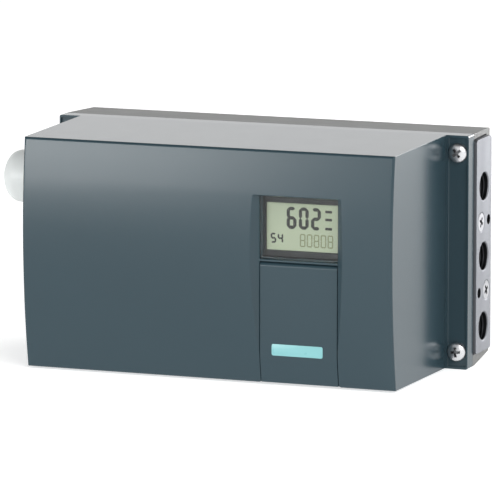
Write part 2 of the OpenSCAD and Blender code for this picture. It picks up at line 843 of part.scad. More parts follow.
// Knob that sends the purge air to the case or to the valve
module purge_selector()
  color(c_yellow) in_case() translate([block_mid_x, block_front_y, adjuster_z - adjuster_pitch / 2])
    difference() {
      union() {
        y_cyl(selector_knob_d, -3, 3.7);
        box([-1.4, -5.5, -selector_knob_d / 2 + 0.6], [1.4, -2.5, selector_knob_d / 2 - 0.6]);
      }
      y_cyl(1.2, -6, -4.6, [0, selector_knob_d / 2 - 2]);
    }

// Cable gland: hexagon body, domed nut, rubber insert and seat seal
module gland_body()
  color(c_pale) in_case()
    translate([entry_pad_x - entry_seal_t, entry_y, entry_pitch / 2]) rotate([0, -90, 0])
    difference() {
      union() {
        cylinder(d = gland_hex / cos(30), h = gland_hex_t, $fn = 6);
        translate([0, 0, -gland_thread_len]) cylinder(d = entry_d - 2 * slip, h = gland_thread_len + eps);
        cylinder(d = 17.5, h = gland_hex_t + 8);
      }
      translate([0, 0, -gland_thread_len - eps]) cylinder(d = cable_d + 2, h = 60);
      translate([0, 0, gland_hex_t + 1]) cylinder(d = 14.4, h = 8);
    }

module gland_nut()
  color(c_pale) in_case()
    translate([entry_pad_x - entry_seal_t, entry_y, entry_pitch / 2]) rotate([0, -90, 0]) {
    start = gland_hex_t + 0.4;
    tip = gland_reach - entry_seal_t;
    dome_r = 6.5;
    outer_r = 11.2;
    mouth_r = cable_d / 2 + 0.9;
    difference() {
      rotate_extrude()
        polygon(concat(
          [[8.9, start], [outer_r - 0.6, start], [outer_r, start + 0.6]],
          [for (a = [0:10:70]) [outer_r - dome_r + dome_r * cos(a), tip - dome_r + dome_r * sin(a)]],
          [
            [mouth_r + 0.4, tip], [mouth_r, tip - 0.5], [mouth_r, tip - 4],
            [7.2, tip - 6], [7.2, start + 9], [8.9, start + 9]
          ]
        ));
      for (i = [0:15])
        rotate(i * 360 / 16) translate([outer_r + 0.5, 0, start - eps])
          cylinder(d = 2, h = tip - dome_r - start - 4.5);
    }
  }

module gland_insert()
  color(c_rubber) in_case()
    translate([entry_pad_x - entry_seal_t, entry_y, entry_pitch / 2]) rotate([0, -90, 0])
    translate([0, 0, gland_hex_t + 1])
      difference() {
        cylinder(d = 14.2, h = gland_reach - entry_seal_t - gland_hex_t - 7.4);
        translate([0, 0, -eps]) cylinder(d = cable_d, h = 60);
      }

module gland_seal()
  color(c_rubber) in_case() translate([0, entry_y, entry_pitch / 2])
    x_ring(gland_hex, entry_d, entry_pad_x - entry_seal_t, entry_pad_x);

// Slotted plug that closes the spare cable entry
module blanking_plug()
  color(c_pale) in_case()
    translate([entry_pad_x - entry_seal_t, entry_y, -entry_pitch / 2]) rotate([0, -90, 0])
    difference() {
      union() {
        rotate_extrude()
          polygon([[0, 0], [gland_hex / 2, 0], [gland_hex / 2, 3.4], [gland_hex / 2 - 1.2, 4.6], [0, 4.6]]);
        translate([0, 0, -gland_thread_len]) cylinder(d = entry_d - 2 * slip, h = gland_thread_len + eps);
      }
      translate([0, 0, 4.2]) cube([2.4, 15, 3], center = true);
      translate([0, 0, -gland_thread_len - eps]) cylinder(d = entry_d - 5, h = gland_thread_len - 1);
    }

module plug_seal()
  color(c_rubber) in_case() translate([0, entry_y, -entry_pitch / 2])
    x_ring(gland_hex, entry_d, entry_pad_x - entry_seal_t, entry_pad_x);

// Feedback shaft with a flat for the lever, a clutch hub and a ring groove
module feedback_shaft()
  color(c_steel) {
    flat = shaft_d * 0.1;
    flat_len = shaft_out * 0.42;
    ring_y = clutch_y - clutch_t;
    difference() {
      union() {
        y_cyl(shaft_d, shaft_end_y, shaft_out);
        y_cyl(journal_d, hub_y - eps, -0.2);
        y_cyl(hub_d, gear_y, hub_y);
      }
      box([-shaft_d, shaft_out - flat_len, shaft_d / 2 - flat], [shaft_d, shaft_out + eps, shaft_d]);
      y_ring(shaft_d + 2, shaft_d - 1, ring_y - ring_t - 0.1, ring_y + 0.1);
      box([-shaft_d, shaft_end_y - eps, -0.6], [shaft_d, shaft_end_y + 1.6, 0.6]);
    }
  }

module drive_gear()
  color(c_pale) {
    rim = gear_m * drive_teeth / 2;
    difference() {
      y_prism(gear_y - gear_face, gear_y) polygon(gear_points(drive_teeth, backlash / 2));
      y_cyl(shaft_d + 2 * seat, gear_y - gear_face - eps, gear_y + eps);
      for (i = [0:5])
        y_cyl(
          rim * 0.3, gear_y - gear_face - eps, gear_y + eps,
          [rim * 0.64 * cos(i * 60 + 30), rim * 0.64 * sin(i * 60 + 30)]
        );
    }
  }

module clutch_spring()
  color(c_steel) y_ring(hub_d + 2, shaft_d + 0.8, gear_y - gear_face - spring_t, gear_y - gear_face);

// Hand wheel that sets the clutch, with a fluted rim and a dished face
module clutch_wheel()
  color(c_yellow)
    difference() {
      y_prism(clutch_y - clutch_t, clutch_y) polygon(fluted_points(clutch_d, 24, 1));
      y_cyl(shaft_d + 2 * seat, clutch_y - clutch_t - eps, clutch_y + eps);
      y_ring(clutch_d - 4, hub_d, clutch_y - clutch_t - eps, clutch_y - clutch_t + 5);
    }

module retaining_ring()
  color(c_steel) {
    ring_y = clutch_y - clutch_t;
    difference() {
      y_ring(hub_d - 2, shaft_d - 1 + 2 * seat, ring_y - ring_t, ring_y);
      box([-1.2, ring_y - ring_t - eps, 0], [1.2, ring_y + eps, hub_d]);
    }
  }

// Potentiometer that reads the shaft, with its three solder pins
module potentiometer()
  color(c_dark) translate([gear_centres, 0, 0]) {
    back = y_wall - pot_pad;
    difference() {
      union() {
        y_cyl(pot_d, back - pot_t, back);
        box([-5, back - 6, -pot_d / 2 - 3], [5, back - 2, 0]);
      }
      y_cyl(pot_shaft_d + 2 * slip, back - pot_t - eps, back - 2);
    }
  }

module pot_shaft()
  color(c_steel) translate([gear_centres, 0, 0])
    y_cyl(pot_shaft_d, bridge_y - bridge_t + 0.4, y_wall - pot_pad - 2.4);

// Pinion, set half a tooth round so that it meshes with the drive gear
module pot_pinion()
  color(c_pale) translate([gear_centres, 0, 0]) {
    half_pitch = 180 / pinion_teeth;
    face_front = gear_y - gear_face - 0.2;
    facing_tooth = pinion_teeth % 2 == 0 ? half_pitch : 0;
    difference() {
      y_prism(face_front, face_front + pinion_face)
        rotate(facing_tooth) polygon(gear_points(pinion_teeth, backlash / 2));
      y_cyl(pot_shaft_d + 2 * seat, face_front - eps, face_front + pinion_face + eps);
    }
  }

// Plate over the pinion: outer bearing of its shaft and guide of the ratio selector
module gear_bridge()
  color(c_dark) {
    slot_half = selector_neck / 2 + 0.1;
    difference() {
      union() {
        translate([gear_centres + 4, 0, 0]) y_prism(bridge_y - bridge_t, bridge_y)
          polygon(round_rect(20, 2 * bridge_half_h, 3));
        for (s = [-1, 1])
          y_cyl(bridge_post_d, bridge_y - eps, y_wall, [bridge_post_x, s * bridge_post_z]);
      }
      y_cyl(pot_shaft_d + 2 * slip, bridge_y - bridge_t - eps, bridge_y + eps, [gear_centres, 0]);
      for (s = [-1, 1])
        y_cyl(3, bridge_y - bridge_t - eps, y_wall + eps, [bridge_post_x, s * bridge_post_z]);
      translate([gear_centres, 0, selector_z])
        box(
          [-slot_half, bridge_y - bridge_t - eps, -2.3],
          [slot_half, bridge_y + eps, 2.3 + selector_travel]
        );
    }
  }

module bridge_screws()
  color(c_steel)
    for (s = [-1, 1])
      translate([bridge_post_x, bridge_y - bridge_t, s * bridge_post_z])
        pan_screw_y(5.5, 2.5, y_wall - bridge_y + bridge_t + 2);

// Slide that picks the gear ratio, held in the bridge's slot by its foot
module ratio_selector()
  color(c_yellow) translate([gear_centres, bridge_y, selector_z]) {
    top = -bridge_t - 0.1;
    difference() {
      box([-selector_w / 2, top - 3, -4], [selector_w / 2, top, 4]);
      box([-1, top - 4, -2.5], [1, top - 1.4, 2.5]);
    }
    box([-selector_neck / 2, top - eps, -2], [selector_neck / 2, 0.6, 2]);
    box([-selector_neck / 2 - 1.4, 0.2, -2], [selector_neck / 2 + 1.4, 1.1, 2]);
  }

module board_standoffs()
  color(c_brass) in_case() at_main_board() difference() {
    union() {
      translate([0, board_y + board_t, 0]) rotate([-90, 0, 0])
        cylinder(d = 5.5 / cos(30), h = y_split - board_y - board_t, $fn = 6);
      y_cyl(board_hole_d + 0.5, y_split - eps, y_split + 7);
    }
    y_cyl(board_hole_d, board_y, board_y + board_t + 8);
  }

module main_board()
  color(c_board) in_case()
    difference() {
      box([board_left, board_y, -board_half_h], [board_right, board_y + board_t, board_half_h]);
      at_main_board() y_cyl(board_hole_d + 0.6, board_y - eps, board_y + board_t + eps);
    }

// Processor, memory, plug header and capacitors on the main board
module board_components()
  color(c_dark) in_case() translate([board_left, board_y, 0]) {
    box([8, -1.6, 4], [20, 0, 16]);
    box([12, -1.4, -12], [22, 0, -6]);
    box([6, -6, -30], [14, 0, -14]);
    for (i = [0:2])
      y_cyl(5, -6, 0, [12 + 8 * i, window_top + 4]);
    box([30, board_t, -20], [46, board_t + 7, -8]);
    box([10, board_t, -6], [24, board_t + 3, 8]);
  }

module board_screws()
  color(c_steel) in_case() {
    at_main_board() translate([0, board_y, 0])
      pan_screw_y(board_screw_head_d, board_hole_d - 0.1, board_t + 6);
    at_terminal_board() translate([0, term_y, 0])
      pan_screw_y(board_screw_head_d, board_hole_d - 0.1, board_t + 6);
  }

module key_switches()
  color(c_steel) in_recess()
    for (i = [-1:1])
      translate([i * key_pitch, board_y, key_z]) {
        box([-3, -1.5, -3], [3, 0, 3]);
        y_cyl(3, -1.9, -1);
      }

// Cap over the main board, with the display's opening and the key holes
module module_cover()
  color(c_dark) in_case() {
    back = module_front_y + module_depth;
    mid = (module_left + module_right) / 2;
    width = module_right - module_left;
    open_w = recess_w - 2 * pane_ledge;
    open_h = window_h - 2 * pane_ledge;
    difference() {
      translate([mid, 0, 0]) y_prism(module_front_y, back) polygon(round_rect(width, 2 * module_half_h, 3));
      box(
        [module_left + module_wall, module_front_y + module_plate_t, -module_half_h + module_wall],
        [module_right - module_wall, back + eps, module_half_h - module_wall]
      );
      translate([recess_x, 0, 0]) {
        box(
          [-open_w / 2, module_front_y - eps, window_z - open_h / 2],
          [open_w / 2, back, window_z + open_h / 2]
        );
        for (i = [-1:1])
          y_cyl(key_d + gap, module_front_y - eps, back, [i * key_pitch, key_z]);
      }
    }
  }

// Frame that carries the display glass on the board
module display_frame()
  color(c_dark) in_recess() {
    frame_w = recess_w - 2 * pane_ledge - 2 * display_margin;
    frame_h = window_h - 2 * pane_ledge - 2 * display_margin;
    glass_play = 0.1;
    difference() {
      box(
        [-frame_w / 2, display_y - 0.2, window_z - frame_h / 2],
        [frame_w / 2, board_y, window_z + frame_h / 2]
      );
      box(
        [-display_w / 2 - glass_play, display_y - 1, display_z - display_h / 2 - glass_play],
        [display_w / 2 + glass_play, display_y + display_t, display_z + display_h / 2 + glass_play]
      );
    }
  }

module display_glass()
  color(c_display) in_recess()
    box(
      [-display_w / 2, display_y, display_z - display_h / 2],
      [display_w / 2, display_y + display_t, display_z + display_h / 2]
    );

module terminal_board()
  color(c_board) in_case()
    difference() {
      box([term_left, term_y, -term_half_h], [term_right, term_y + board_t, term_half_h]);
      at_terminal_board() y_cyl(board_hole_d + 0.6, term_y - eps, term_y + board_t + eps);
    }

// A child at each terminal of both blocks
module at_terminals()
  for (s = [-1, 1])
    for (i = [0:term_poles - 1])
      translate([term_block_x, term_y, s * term_block_z + (i - (term_poles - 1) / 2) * term_pitch])
        children();

// Two stepped terminal blocks, with wire mouths on the left and screws on the front
module terminal_blocks()
  color(c_green) in_case() {
    step = 5;
    difference() {
      for (s = [-1, 1])
        translate([term_block_x, term_y, s * term_block_z - term_block_len / 2])
          linear_extrude(term_block_len)
            polygon([
              [0, 0], [term_block_w, 0],
              [term_block_w, -term_block_t + step], [term_block_w - step, -term_block_t],
              [step, -term_block_t], [step, -term_block_t + 1.5], [0, -term_block_t + 1.5]
            ]);
      at_terminals() {
        box([-eps, -8, -1.6], [7.5, -4, 1.6]);
        y_cyl(4, -term_block_t - eps, -9, [8.5, 0]);
      }
    }
  }

module terminal_screws()
  color(c_steel) in_case() at_terminals() difference() {
    y_cyl(3.8, -12.5, -9, [8.5, 0]);
    box([5.5, -13, -0.4], [11.5, -11.7, 0.4]);
  }

// Flat cable from the terminal board to the main board, bent like a step
module ribbon_cable()
  color(c_pale) in_case() {
    t = 0.8;
    half = 6;
    from_x = term_block_x + term_block_w + 0.5;
    to_x = board_left + 6;
    low_y = term_y - t;
    high_y = board_y + board_t;
    mid_x = (term_right + board_left) / 2;
    translate([0, 0, board_half_h - 16 - half]) linear_extrude(2 * half)
      polygon([
        [from_x, low_y + t], [from_x, low_y], [mid_x - t / 2, low_y],
        [mid_x - t / 2, high_y], [to_x, high_y], [to_x, high_y + t],
        [mid_x + t / 2, high_y + t], [mid_x + t / 2, low_y + t]
      ]);
  }

base_housing();
rear_inserts();
cover_inserts();
shaft_bush();
shaft_seal();
exhaust_silencer();
port_plate();
port_plate_gasket();
port_plate_screws();
port_screens();
pneumatic_block();
pneumatic_block_screws();
pilot_valve();
pilot_valve_screws();
restrictor_upper();
restrictor_lower();
purge_selector();
gland_body();
gland_nut();
gland_insert();
gland_seal();
blanking_plug();
plug_seal();
feedback_shaft();
drive_gear();
clutch_spring();
clutch_wheel();
retaining_ring();
potentiometer();
pot_shaft();
pot_pinion();
gear_bridge();
bridge_screws();
ratio_selector();
board_standoffs();
main_board();
board_components();
board_screws();
key_switches();
module_cover();
display_frame();
display_glass();
mode_key();
down_key();
up_key();
terminal_board();
terminal_blocks();
terminal_screws();
ribbon_cable();
front_cover();
display_window();
housing_gasket();
cover_screws();
hinge_pin();
key_flap();
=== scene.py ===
"""Looks of an electropneumatic valve positioner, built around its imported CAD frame."""

from __future__ import annotations

import json
import logging
import math
from dataclasses import dataclass
from enum import Enum
from functools import partial
from typing import Callable, Sequence

import bmesh
import bpy
import numpy as np
from mathutils import Matrix, Vector
from mathutils.bvhtree import BVHTree
from mathutils.kdtree import KDTree


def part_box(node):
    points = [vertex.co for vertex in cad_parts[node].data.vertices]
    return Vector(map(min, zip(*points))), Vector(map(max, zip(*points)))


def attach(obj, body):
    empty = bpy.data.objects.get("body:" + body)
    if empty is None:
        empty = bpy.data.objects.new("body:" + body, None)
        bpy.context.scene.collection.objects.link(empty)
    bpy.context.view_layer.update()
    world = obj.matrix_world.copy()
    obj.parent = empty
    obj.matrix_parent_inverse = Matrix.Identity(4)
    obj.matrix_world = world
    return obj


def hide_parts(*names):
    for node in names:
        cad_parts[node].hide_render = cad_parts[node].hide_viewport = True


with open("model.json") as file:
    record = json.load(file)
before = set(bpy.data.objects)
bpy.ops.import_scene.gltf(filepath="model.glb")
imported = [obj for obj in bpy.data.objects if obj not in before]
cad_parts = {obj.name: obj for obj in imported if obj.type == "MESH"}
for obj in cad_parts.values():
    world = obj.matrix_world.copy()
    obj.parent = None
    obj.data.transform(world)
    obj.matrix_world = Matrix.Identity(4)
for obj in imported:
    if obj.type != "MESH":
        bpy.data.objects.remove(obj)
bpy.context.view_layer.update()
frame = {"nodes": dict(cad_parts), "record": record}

LOG = logging.getLogger("positioner")
NODE_BODY: dict[str, str] = {
    node: body for body, nodes in frame["record"]["behaviour"]["bodies"].items() for node in nodes
}
MM = 0.001

# Middle of the case across the row frame, in millimetres.
CASE_X = 22.0
CORNERS = ((1, 1), (1, -1), (-1, 1), (-1, -1))

# Rounding of edges. Edges that turn by more than SHARP_ANGLE are rounded, in chains that go on
# while the cosine of their turn stays above CHAIN_TURN. A rounding takes ROOM_SHARE of the room
# beside its edge at most, and FREE metres stand for no limit. If points stray from the surface by
# more than STRAY of the radius, the chains at the NEAREST edge ends keep EASE of their width, or
# nothing below LEAST, and the rounding is made again, FIT_TRIES times in all.
SHARP_ANGLE = math.radians(34)
CHAIN_TURN = 0.85
ROOM_SHARE = 0.45
FREE = 1.0
STRAY = 0.45
NEAREST = 4
EASE = 0.4
LEAST = 0.2
FIT_TRIES = 5

Colour = tuple[float, float, float]
Point = tuple[float, float, float]
Outline = Sequence[tuple[float, float]]
Share = Callable[[Vector], float]
Socket = bpy.types.NodeSocket
Piece = bpy.types.Object
Mesh = bpy.types.Mesh
Work = bmesh.types.BMesh
Edge = bmesh.types.BMEdge


def tone(*screen: int) -> Colour:
    """Linear colour of an 8-bit screen colour, given as red, green and blue."""
    shares = [value / 255 for value in screen]
    return tuple(s / 12.92 if s <= 0.04045 else ((s + 0.055) / 1.055) ** 2.4 for s in shares)


def shade(colour: Colour, factor: float) -> tuple[float, float, float, float]:
    """Colour with its brightness scaled, as four numbers for a node's socket."""
    return (colour[0] * factor, colour[1] * factor, colour[2] * factor, 1.0)


class Axis(Enum):
    """Direction that a drawn or brushed pattern runs along, as its stretch."""

    Y = (1.0, 14.0, 1.0)
    Z = (1.0, 1.0, 14.0)
    NONE = (1.0, 1.0, 1.0)


class Nodes:
    """A node tree, with short calls that add its nodes and feed their inputs."""

    def __init__(self, tree: bpy.types.NodeTree) -> None:
        """Take on a node tree."""
        self.tree = tree

    def add(self, kind: str, inputs: dict | None = None, **settings: object) -> bpy.types.Node:
        """Add a node, set its properties and feed its inputs.

        Args:
            kind: Type of the node.
            inputs: Value of each input, or the socket that drives it, by name or number.
            settings: Properties of the node.

        Returns:
            The new node.
        """
        node = self.tree.nodes.new(kind)
        for key, value in settings.items():
            setattr(node, key, value)
        self.feed(node, inputs or {})
        return node

    def feed(self, node: bpy.types.Node, inputs: dict) -> None:
        """Set inputs of a node, or link those that a socket drives.

        Args:
            node: The node.
            inputs: Value of each input, or the socket that drives it, by name or number.
        """
        for key, value in inputs.items():
            if isinstance(value, Socket):
                self.tree.links.new(value, node.inputs[key])
            else:
                node.inputs[key].default_value = value


class Graph(Nodes):
    """A material's node tree around one Principled shader."""

    def __init__(self, name: str) -> None:
        """Start a material.

        Args:
            name: Name of the material.
        """
        self.material = bpy.data.materials.new(name)
        self.material.use_nodes = True
        super().__init__(self.material.node_tree)
        self.shader = self.tree.nodes["Principled BSDF"]

    def place(self, stretch: Point = (1.0, 1.0, 1.0), shift: Point = (0.0, 0.0, 0.0)) -> Socket:
        """Object coordinates, shifted and then stretched.

        Args:
            stretch: How many times longer the pattern is along each axis.
            shift: Point of the row frame, in metres, that becomes the pattern's origin.

        Returns:
            The place as a vector.
        """
        scale = [1.0 / s for s in stretch]
        inputs = {
            "Vector": self.add("ShaderNodeTexCoord").outputs["Object"],
            "Scale": scale,
            "Location": [-p * s for p, s in zip(shift, scale)],
        }
        return self.add("ShaderNodeMapping", inputs).outputs["Vector"]

    def noise(self, cell_mm: float, detail: float = 2.0, axis: Axis = Axis.NONE) -> Socket:
        """Noise with cells of a size in millimetres, drawn out along an axis."""
        inputs = {"Scale": 1.0 / (cell_mm * MM), "Detail": detail, "Vector": self.place(axis.value)}
        return self.add("ShaderNodeTexNoise", inputs).outputs["Fac"]

    def tint(self, value: Socket, colour: Colour, levels: dict[float, float]) -> Socket:
        """Colour whose brightness follows a value.

        Args:
            value: Value that drives the brightness.
            colour: Colour at a brightness of 1.
            levels: Brightness at each step of the value, in order.

        Returns:
            The colour.
        """
        ramp = self.add("ShaderNodeValToRGB", {"Fac": value})
        elements = ramp.color_ramp.elements
        while len(elements) < len(levels):
            elements.new(0.5)
        for element, (position, level) in zip(elements, levels.items()):
            element.position = position
            element.color = shade(colour, level)
        return ramp.outputs["Color"]

    def spread(self, value: Socket, low: float, high: float) -> Socket:
        """Map a noise value, which stays near its middle, onto a range."""
        inputs = {"Value": value, "From Min": 0.3, "From Max": 0.7, "To Min": low, "To Max": high}
        return self.add("ShaderNodeMapRange", inputs).outputs["Result"]

    def hollow(self, colour: Socket, share: float) -> Socket:
        """Paint shade into a colour where the piece's hollow attribute is set.

        Args:
            colour: Colour of the open surface.
            share: Share of its brightness that is left in a hollow, as painted shade.

        Returns:
            The colour with painted shade in its hollows.
        """
        # Painted shade: the hollow attribute scales the colour down.
        mark = self.add("ShaderNodeAttribute", attribute_name="hollow").outputs["Fac"]
        level = self.add("ShaderNodeMapRange", {"Value": mark, "To Min": 1.0, "To Max": share})
        inputs = {"Vector": colour, "Scale": level.outputs["Result"]}
        return self.add("ShaderNodeVectorMath", inputs, operation="SCALE").outputs["Vector"]

    def bump(self, height: Socket, depth_mm: float, strength: float) -> None:
        """Raise a height pattern on the shader's normal."""
        inputs = {"Height": height, "Distance": depth_mm * MM, "Strength": strength}
        self.feed(self.shader, {"Normal": self.add("ShaderNodeBump", inputs).outputs["Normal"]})


@dataclass(frozen=True)
class Finish:
    """Base of every finish: its name, colour and roughness."""

    name: str
    colour: Colour
    roughness: float

    def material(self) -> bpy.types.Material:
        """Material of this finish, built once.

        Returns:
            The material.
        """
        found = bpy.data.materials.get(self.name)
        if found:
            return found
        graph = Graph(self.name)
        self.lay(graph)
        return graph.material

    def lay(self, graph: Graph) -> None:
        """Build this finish in a material's tree."""
        raise NotImplementedError


@dataclass(frozen=True)
class Moulded(Finish):
    """Moulded plastic or rubber: faint colour drift, spark-eroded grain and a set gloss."""

    grain_mm: float = 0.4
    grain_depth_mm: float = 0.01
    drift: float = 0.05
    drift_mm: float = 38.0
    cloud: float = 0.1
    cloud_mm: float = 9.0
    ior: float = 1.5
    subsurface: float = 0.0

    def lay(self, graph: Graph) -> None:
        """Build the finish in a material's tree.

        Args:
            graph: The material's tree.
        """
        levels = {0.3: 1 - self.drift, 0.7: 1 + self.drift}
        gloss = [self.roughness * (1 + s * self.cloud) for s in (-1, 1)]
        graph.feed(graph.shader, {
            "Base Color": graph.tint(graph.noise(self.drift_mm, 3.0), self.colour, levels),
            "Roughness": graph.spread(graph.noise(self.cloud_mm, 4.0), *gloss),
            "IOR": self.ior,
        })
        graph.bump(graph.noise(self.grain_mm), self.grain_depth_mm, 0.6)
        if self.subsurface > 0:
            under = {"Subsurface Weight": self.subsurface, "Subsurface Radius": (2 * MM,) * 3}
            graph.feed(graph.shader, under)


@dataclass(frozen=True)
class Metal(Finish):
    """Metal with a drawn or brushed grain along one axis, and painted shade in its hollows."""

    axis: Axis = Axis.NONE
    streak_mm: float = 0.2
    streak_depth_mm: float = 0.006
    drift: float = 0.08
    # Share of brightness left on faces marked as hollows: painted shade.
    hollow: float = 0.12
    gloss_mm: float = 12.0

    def lay(self, graph: Graph) -> None:
        """Build the finish in a material's tree.

        Args:
            graph: The material's tree.
        """
        streak = graph.noise(self.streak_mm, 3.0, self.axis)
        levels = {0.32: 1 - self.drift, 0.68: 1 + self.drift * 0.6}
        gloss = graph.noise(self.gloss_mm, 1.0, self.axis)
        # The base colour carries painted shade where faces are marked as hollows.
        graph.feed(graph.shader, {
            "Metallic": 1.0,
            "Base Color": graph.hollow(graph.tint(streak, self.colour, levels), self.hollow),
            "Roughness": graph.spread(gloss, self.roughness * 0.9, self.roughness * 1.1),
        })
        graph.bump(streak, self.streak_depth_mm, 0.5)


@dataclass(frozen=True)
class Sintered(Finish):
    """Porous sintered bronze: pressed grains with dark pores."""

    grain_mm: float = 0.45

    def lay(self, graph: Graph) -> None:
        """Build the finish in a material's tree.

        Args:
            graph: The material's tree.
        """
        inputs = {"Scale": 1.0 / (self.grain_mm * MM), "Vector": graph.place()}
        cells = graph.add("ShaderNodeTexVoronoi", inputs).outputs["Distance"]
        graph.feed(graph.shader, {
            "Metallic": 1.0,
            "Base Color": graph.tint(cells, self.colour, {0.1: 1.1, 0.5: 0.8, 0.75: 0.15}),
            "Roughness": graph.spread(graph.noise(1.0), self.roughness, self.roughness + 0.2),
        })
        graph.bump(cells, 0.2, -0.8)


@dataclass(frozen=True)
class Pane(Finish):
    """Clear pane with a trace of haze."""

    def lay(self, graph: Graph) -> None:
        """Build the finish in a material's tree.

        Args:
            graph: The material's tree.
        """
        graph.feed(graph.shader, {
            "Transmission Weight": 1.0,
            "IOR": 1.32,
            "Base Color": graph.tint(graph.noise(12.0), self.colour, {0.3: 0.99, 0.7: 1.0}),
            "Roughness": graph.spread(graph.noise(6.0, 4.0), 0.01, self.roughness),
        })


@dataclass(frozen=True)
class DisplayFace(Finish):
    """Reflective display: pale green, with painted light and shade that make it a little brighter
    to the foot and darker to the top, and a fine grain.
    """

    foot_z_mm: float = 6.6
    height_mm: float = 19.2

    def lay(self, graph: Graph) -> None:
        """Build the finish in a material's tree.

        Args:
            graph: The material's tree.
        """
        place = graph.place(shift=(0.0, 0.0, self.foot_z_mm * MM))
        height = graph.add("ShaderNodeSeparateXYZ", {"Vector": place}).outputs["Z"]
        rise = graph.add("ShaderNodeMath", {0: height, 1: self.height_mm * MM}, operation="DIVIDE")
        # Painted light and shade: brightness rises from the top to the foot, broken up by noise.
        inputs = {0: graph.noise(5.0, 3.0), 1: 0.35, 2: rise.outputs["Value"]}
        blend = graph.add("ShaderNodeMath", inputs, operation="MULTIPLY_ADD").outputs["Value"]
        graph.feed(graph.shader, {
            "Base Color": graph.tint(blend, self.colour, {0.05: 1.06, 0.6: 1.0, 1.0: 0.93}),
            "Roughness": graph.spread(graph.noise(2.0), self.roughness, self.roughness + 0.1),
        })
        graph.bump(graph.noise(0.25), 0.004, 0.4)


@dataclass(frozen=True)
class Board(Finish):
    """Circuit board under solder lacquer, with copper traces showing through."""

    trace: Colour = (0.06, 0.27, 0.12)
    pattern_mm: float = 16.0

    def lay(self, graph: Graph) -> None:
        """Build the finish in a material's tree.

        Args:
            graph: The material's tree.
        """
        upright = {"Vector": graph.place(), "Rotation": (math.radians(90), 0.0, 0.0)}
        inputs = {
            "Vector": graph.add("ShaderNodeMapping", upright).outputs["Vector"],
            "Scale": 1.0 / (self.pattern_mm * MM),
            "Brick Width": 0.9,
            "Row Height": 0.12,
            "Mortar Size": 0.014,
            "Mortar Smooth": 0.1,
            "Color1": shade(self.colour, 1.0),
            "Color2": shade(self.colour, 0.94),
            "Mortar": shade(self.trace, 1.0),
        }
        bricks = graph.add("ShaderNodeTexBrick", inputs, offset=0.5, squash=1.0).outputs
        gloss = graph.spread(graph.noise(4.0), self.roughness * 0.8, self.roughness * 1.2)
        graph.feed(graph.shader, {"Base Color": bricks["Color"], "Roughness": gloss})
        graph.bump(bricks["Fac"], 0.03, 0.5)


class Finishes:
    """Every finish of the positioner: name, colour, roughness, grain or streak, depth, drift."""

    CASE = Moulded("case_slate", tone(46, 65, 73), 0.21, 0.5, 0.002, 0.015, cloud=0.02, ior=1.42)
    BASE = Moulded("base_grey", tone(80, 82, 80), 0.42, 0.6, 0.012, 0.02, cloud=0.03, ior=1.4)
    BLACK = Moulded("black_satin", tone(34, 36, 38), 0.38, 0.4, 0.015, 0.12)
    SURROUND = Moulded("display_surround", tone(22, 26, 31), 0.6, 0.3, 0.01, 0.08)
    RUBBER = Moulded("seal_rubber", tone(32, 32, 34), 0.75, 0.25, 0.02, 0.18)
    PALE = Moulded("pale_polyamide", tone(217, 221, 220), 0.36, 0.5, 0.008, 0.02, subsurface=0.15)
    IVORY = Moulded("ivory_acetal", tone(226, 222, 206), 0.34, 0.4, 0.006, 0.03)
    YELLOW = Moulded("adjuster_yellow", tone(236, 190, 36), 0.4)
    TERMINAL = Moulded("terminal_green", tone(72, 128, 84), 0.42, drift=0.06)
    RIBBON = Moulded("ribbon_grey", tone(178, 180, 182), 0.5, 0.6)
    TEAL = Moulded("bare_plate_teal", tone(132, 192, 195), 0.3, 0.3, 0.004)
    INK = Moulded("display_ink", tone(26, 30, 24), 0.5, 0.3, 0.002, 0.1)
    FAINT_INK = Moulded("display_faint_ink", tone(132, 138, 104), 0.45, 0.3, 0.002, 0.06)
    LEGEND = Moulded("key_legend", tone(205, 208, 206), 0.5, 0.3, 0.003)
    SILVER = Metal("plate_silver", tone(122, 124, 129), 0.58, Axis.Z, 0.16, 0.008, 0.05)
    # Dark metal of the port thread ridges: painted shade deep inside the ports.
    BORE = Metal("bore_dark", tone(62, 63, 66), 0.5)
    CASTING = Metal("block_aluminium", tone(186, 188, 192), 0.45, Axis.Y, 0.3, 0.012)
    # Screws keep half their brightness in the cross recess: painted shade.
    NICKEL = Metal(
        "screw_nickel", tone(216, 216, 218), 0.3, Axis.NONE, 0.5, 0.004, 0.06, hollow=0.5
    )
    STEEL = Metal("turned_steel", tone(168, 169, 173), 0.3)
    BRASS = Metal("turned_brass", tone(206, 168, 96), 0.28, Axis.NONE, 0.25, 0.0015, 0.05)
    BRONZE = Sintered("sintered_bronze", tone(176, 136, 84), 0.5)
    CLEAR = Pane("clear_pane", (0.96, 0.98, 0.97), 0.05)
    DISPLAY = DisplayFace("display_face", tone(178, 188, 161), 0.3)
    BOARD = Board("board_lacquer", (0.02, 0.13, 0.06), 0.35)


def link(name: str, data: bpy.types.ID) -> Piece:
    """Put a mesh, camera or lamp in the scene as an object at the origin.

    Args:
        name: Name of the object.
        data: What the object shows.

    Returns:
        The object.
    """
    obj = bpy.data.objects.new(name, data)
    bpy.context.scene.collection.objects.link(obj)
    return obj


def made(bm: Work, name: str) -> Piece:
    """Turn a working mesh into an object, and free it.

    Args:
        bm: The working mesh, in metres.
        name: Name of the object.

    Returns:
        The object.
    """
    mesh = bpy.data.meshes.new(name)
    bm.to_mesh(mesh)
    bm.free()
    return link(name, mesh)


def settle(obj: Piece) -> Piece:
    """Turn an object's modifiers into a plain mesh.

    Args:
        obj: Object whose evaluated mesh is kept.

    Returns:
        The same object, with no modifiers.
    """
    graph = bpy.context.evaluated_depsgraph_get()
    mesh = bpy.data.meshes.new_from_object(obj.evaluated_get(graph), depsgraph=graph)
    spent = obj.data
    obj.modifiers.clear()
    obj.data = mesh
    bpy.data.meshes.remove(spent)
    return obj


def smooth(mesh: Mesh, angle: float = 32.0) -> None:
    """Shade a mesh smooth, with edges sharper than the angle kept crisp."""
    mesh.shade_smooth()
    mesh.set_sharp_from_angle(angle=math.radians(angle))


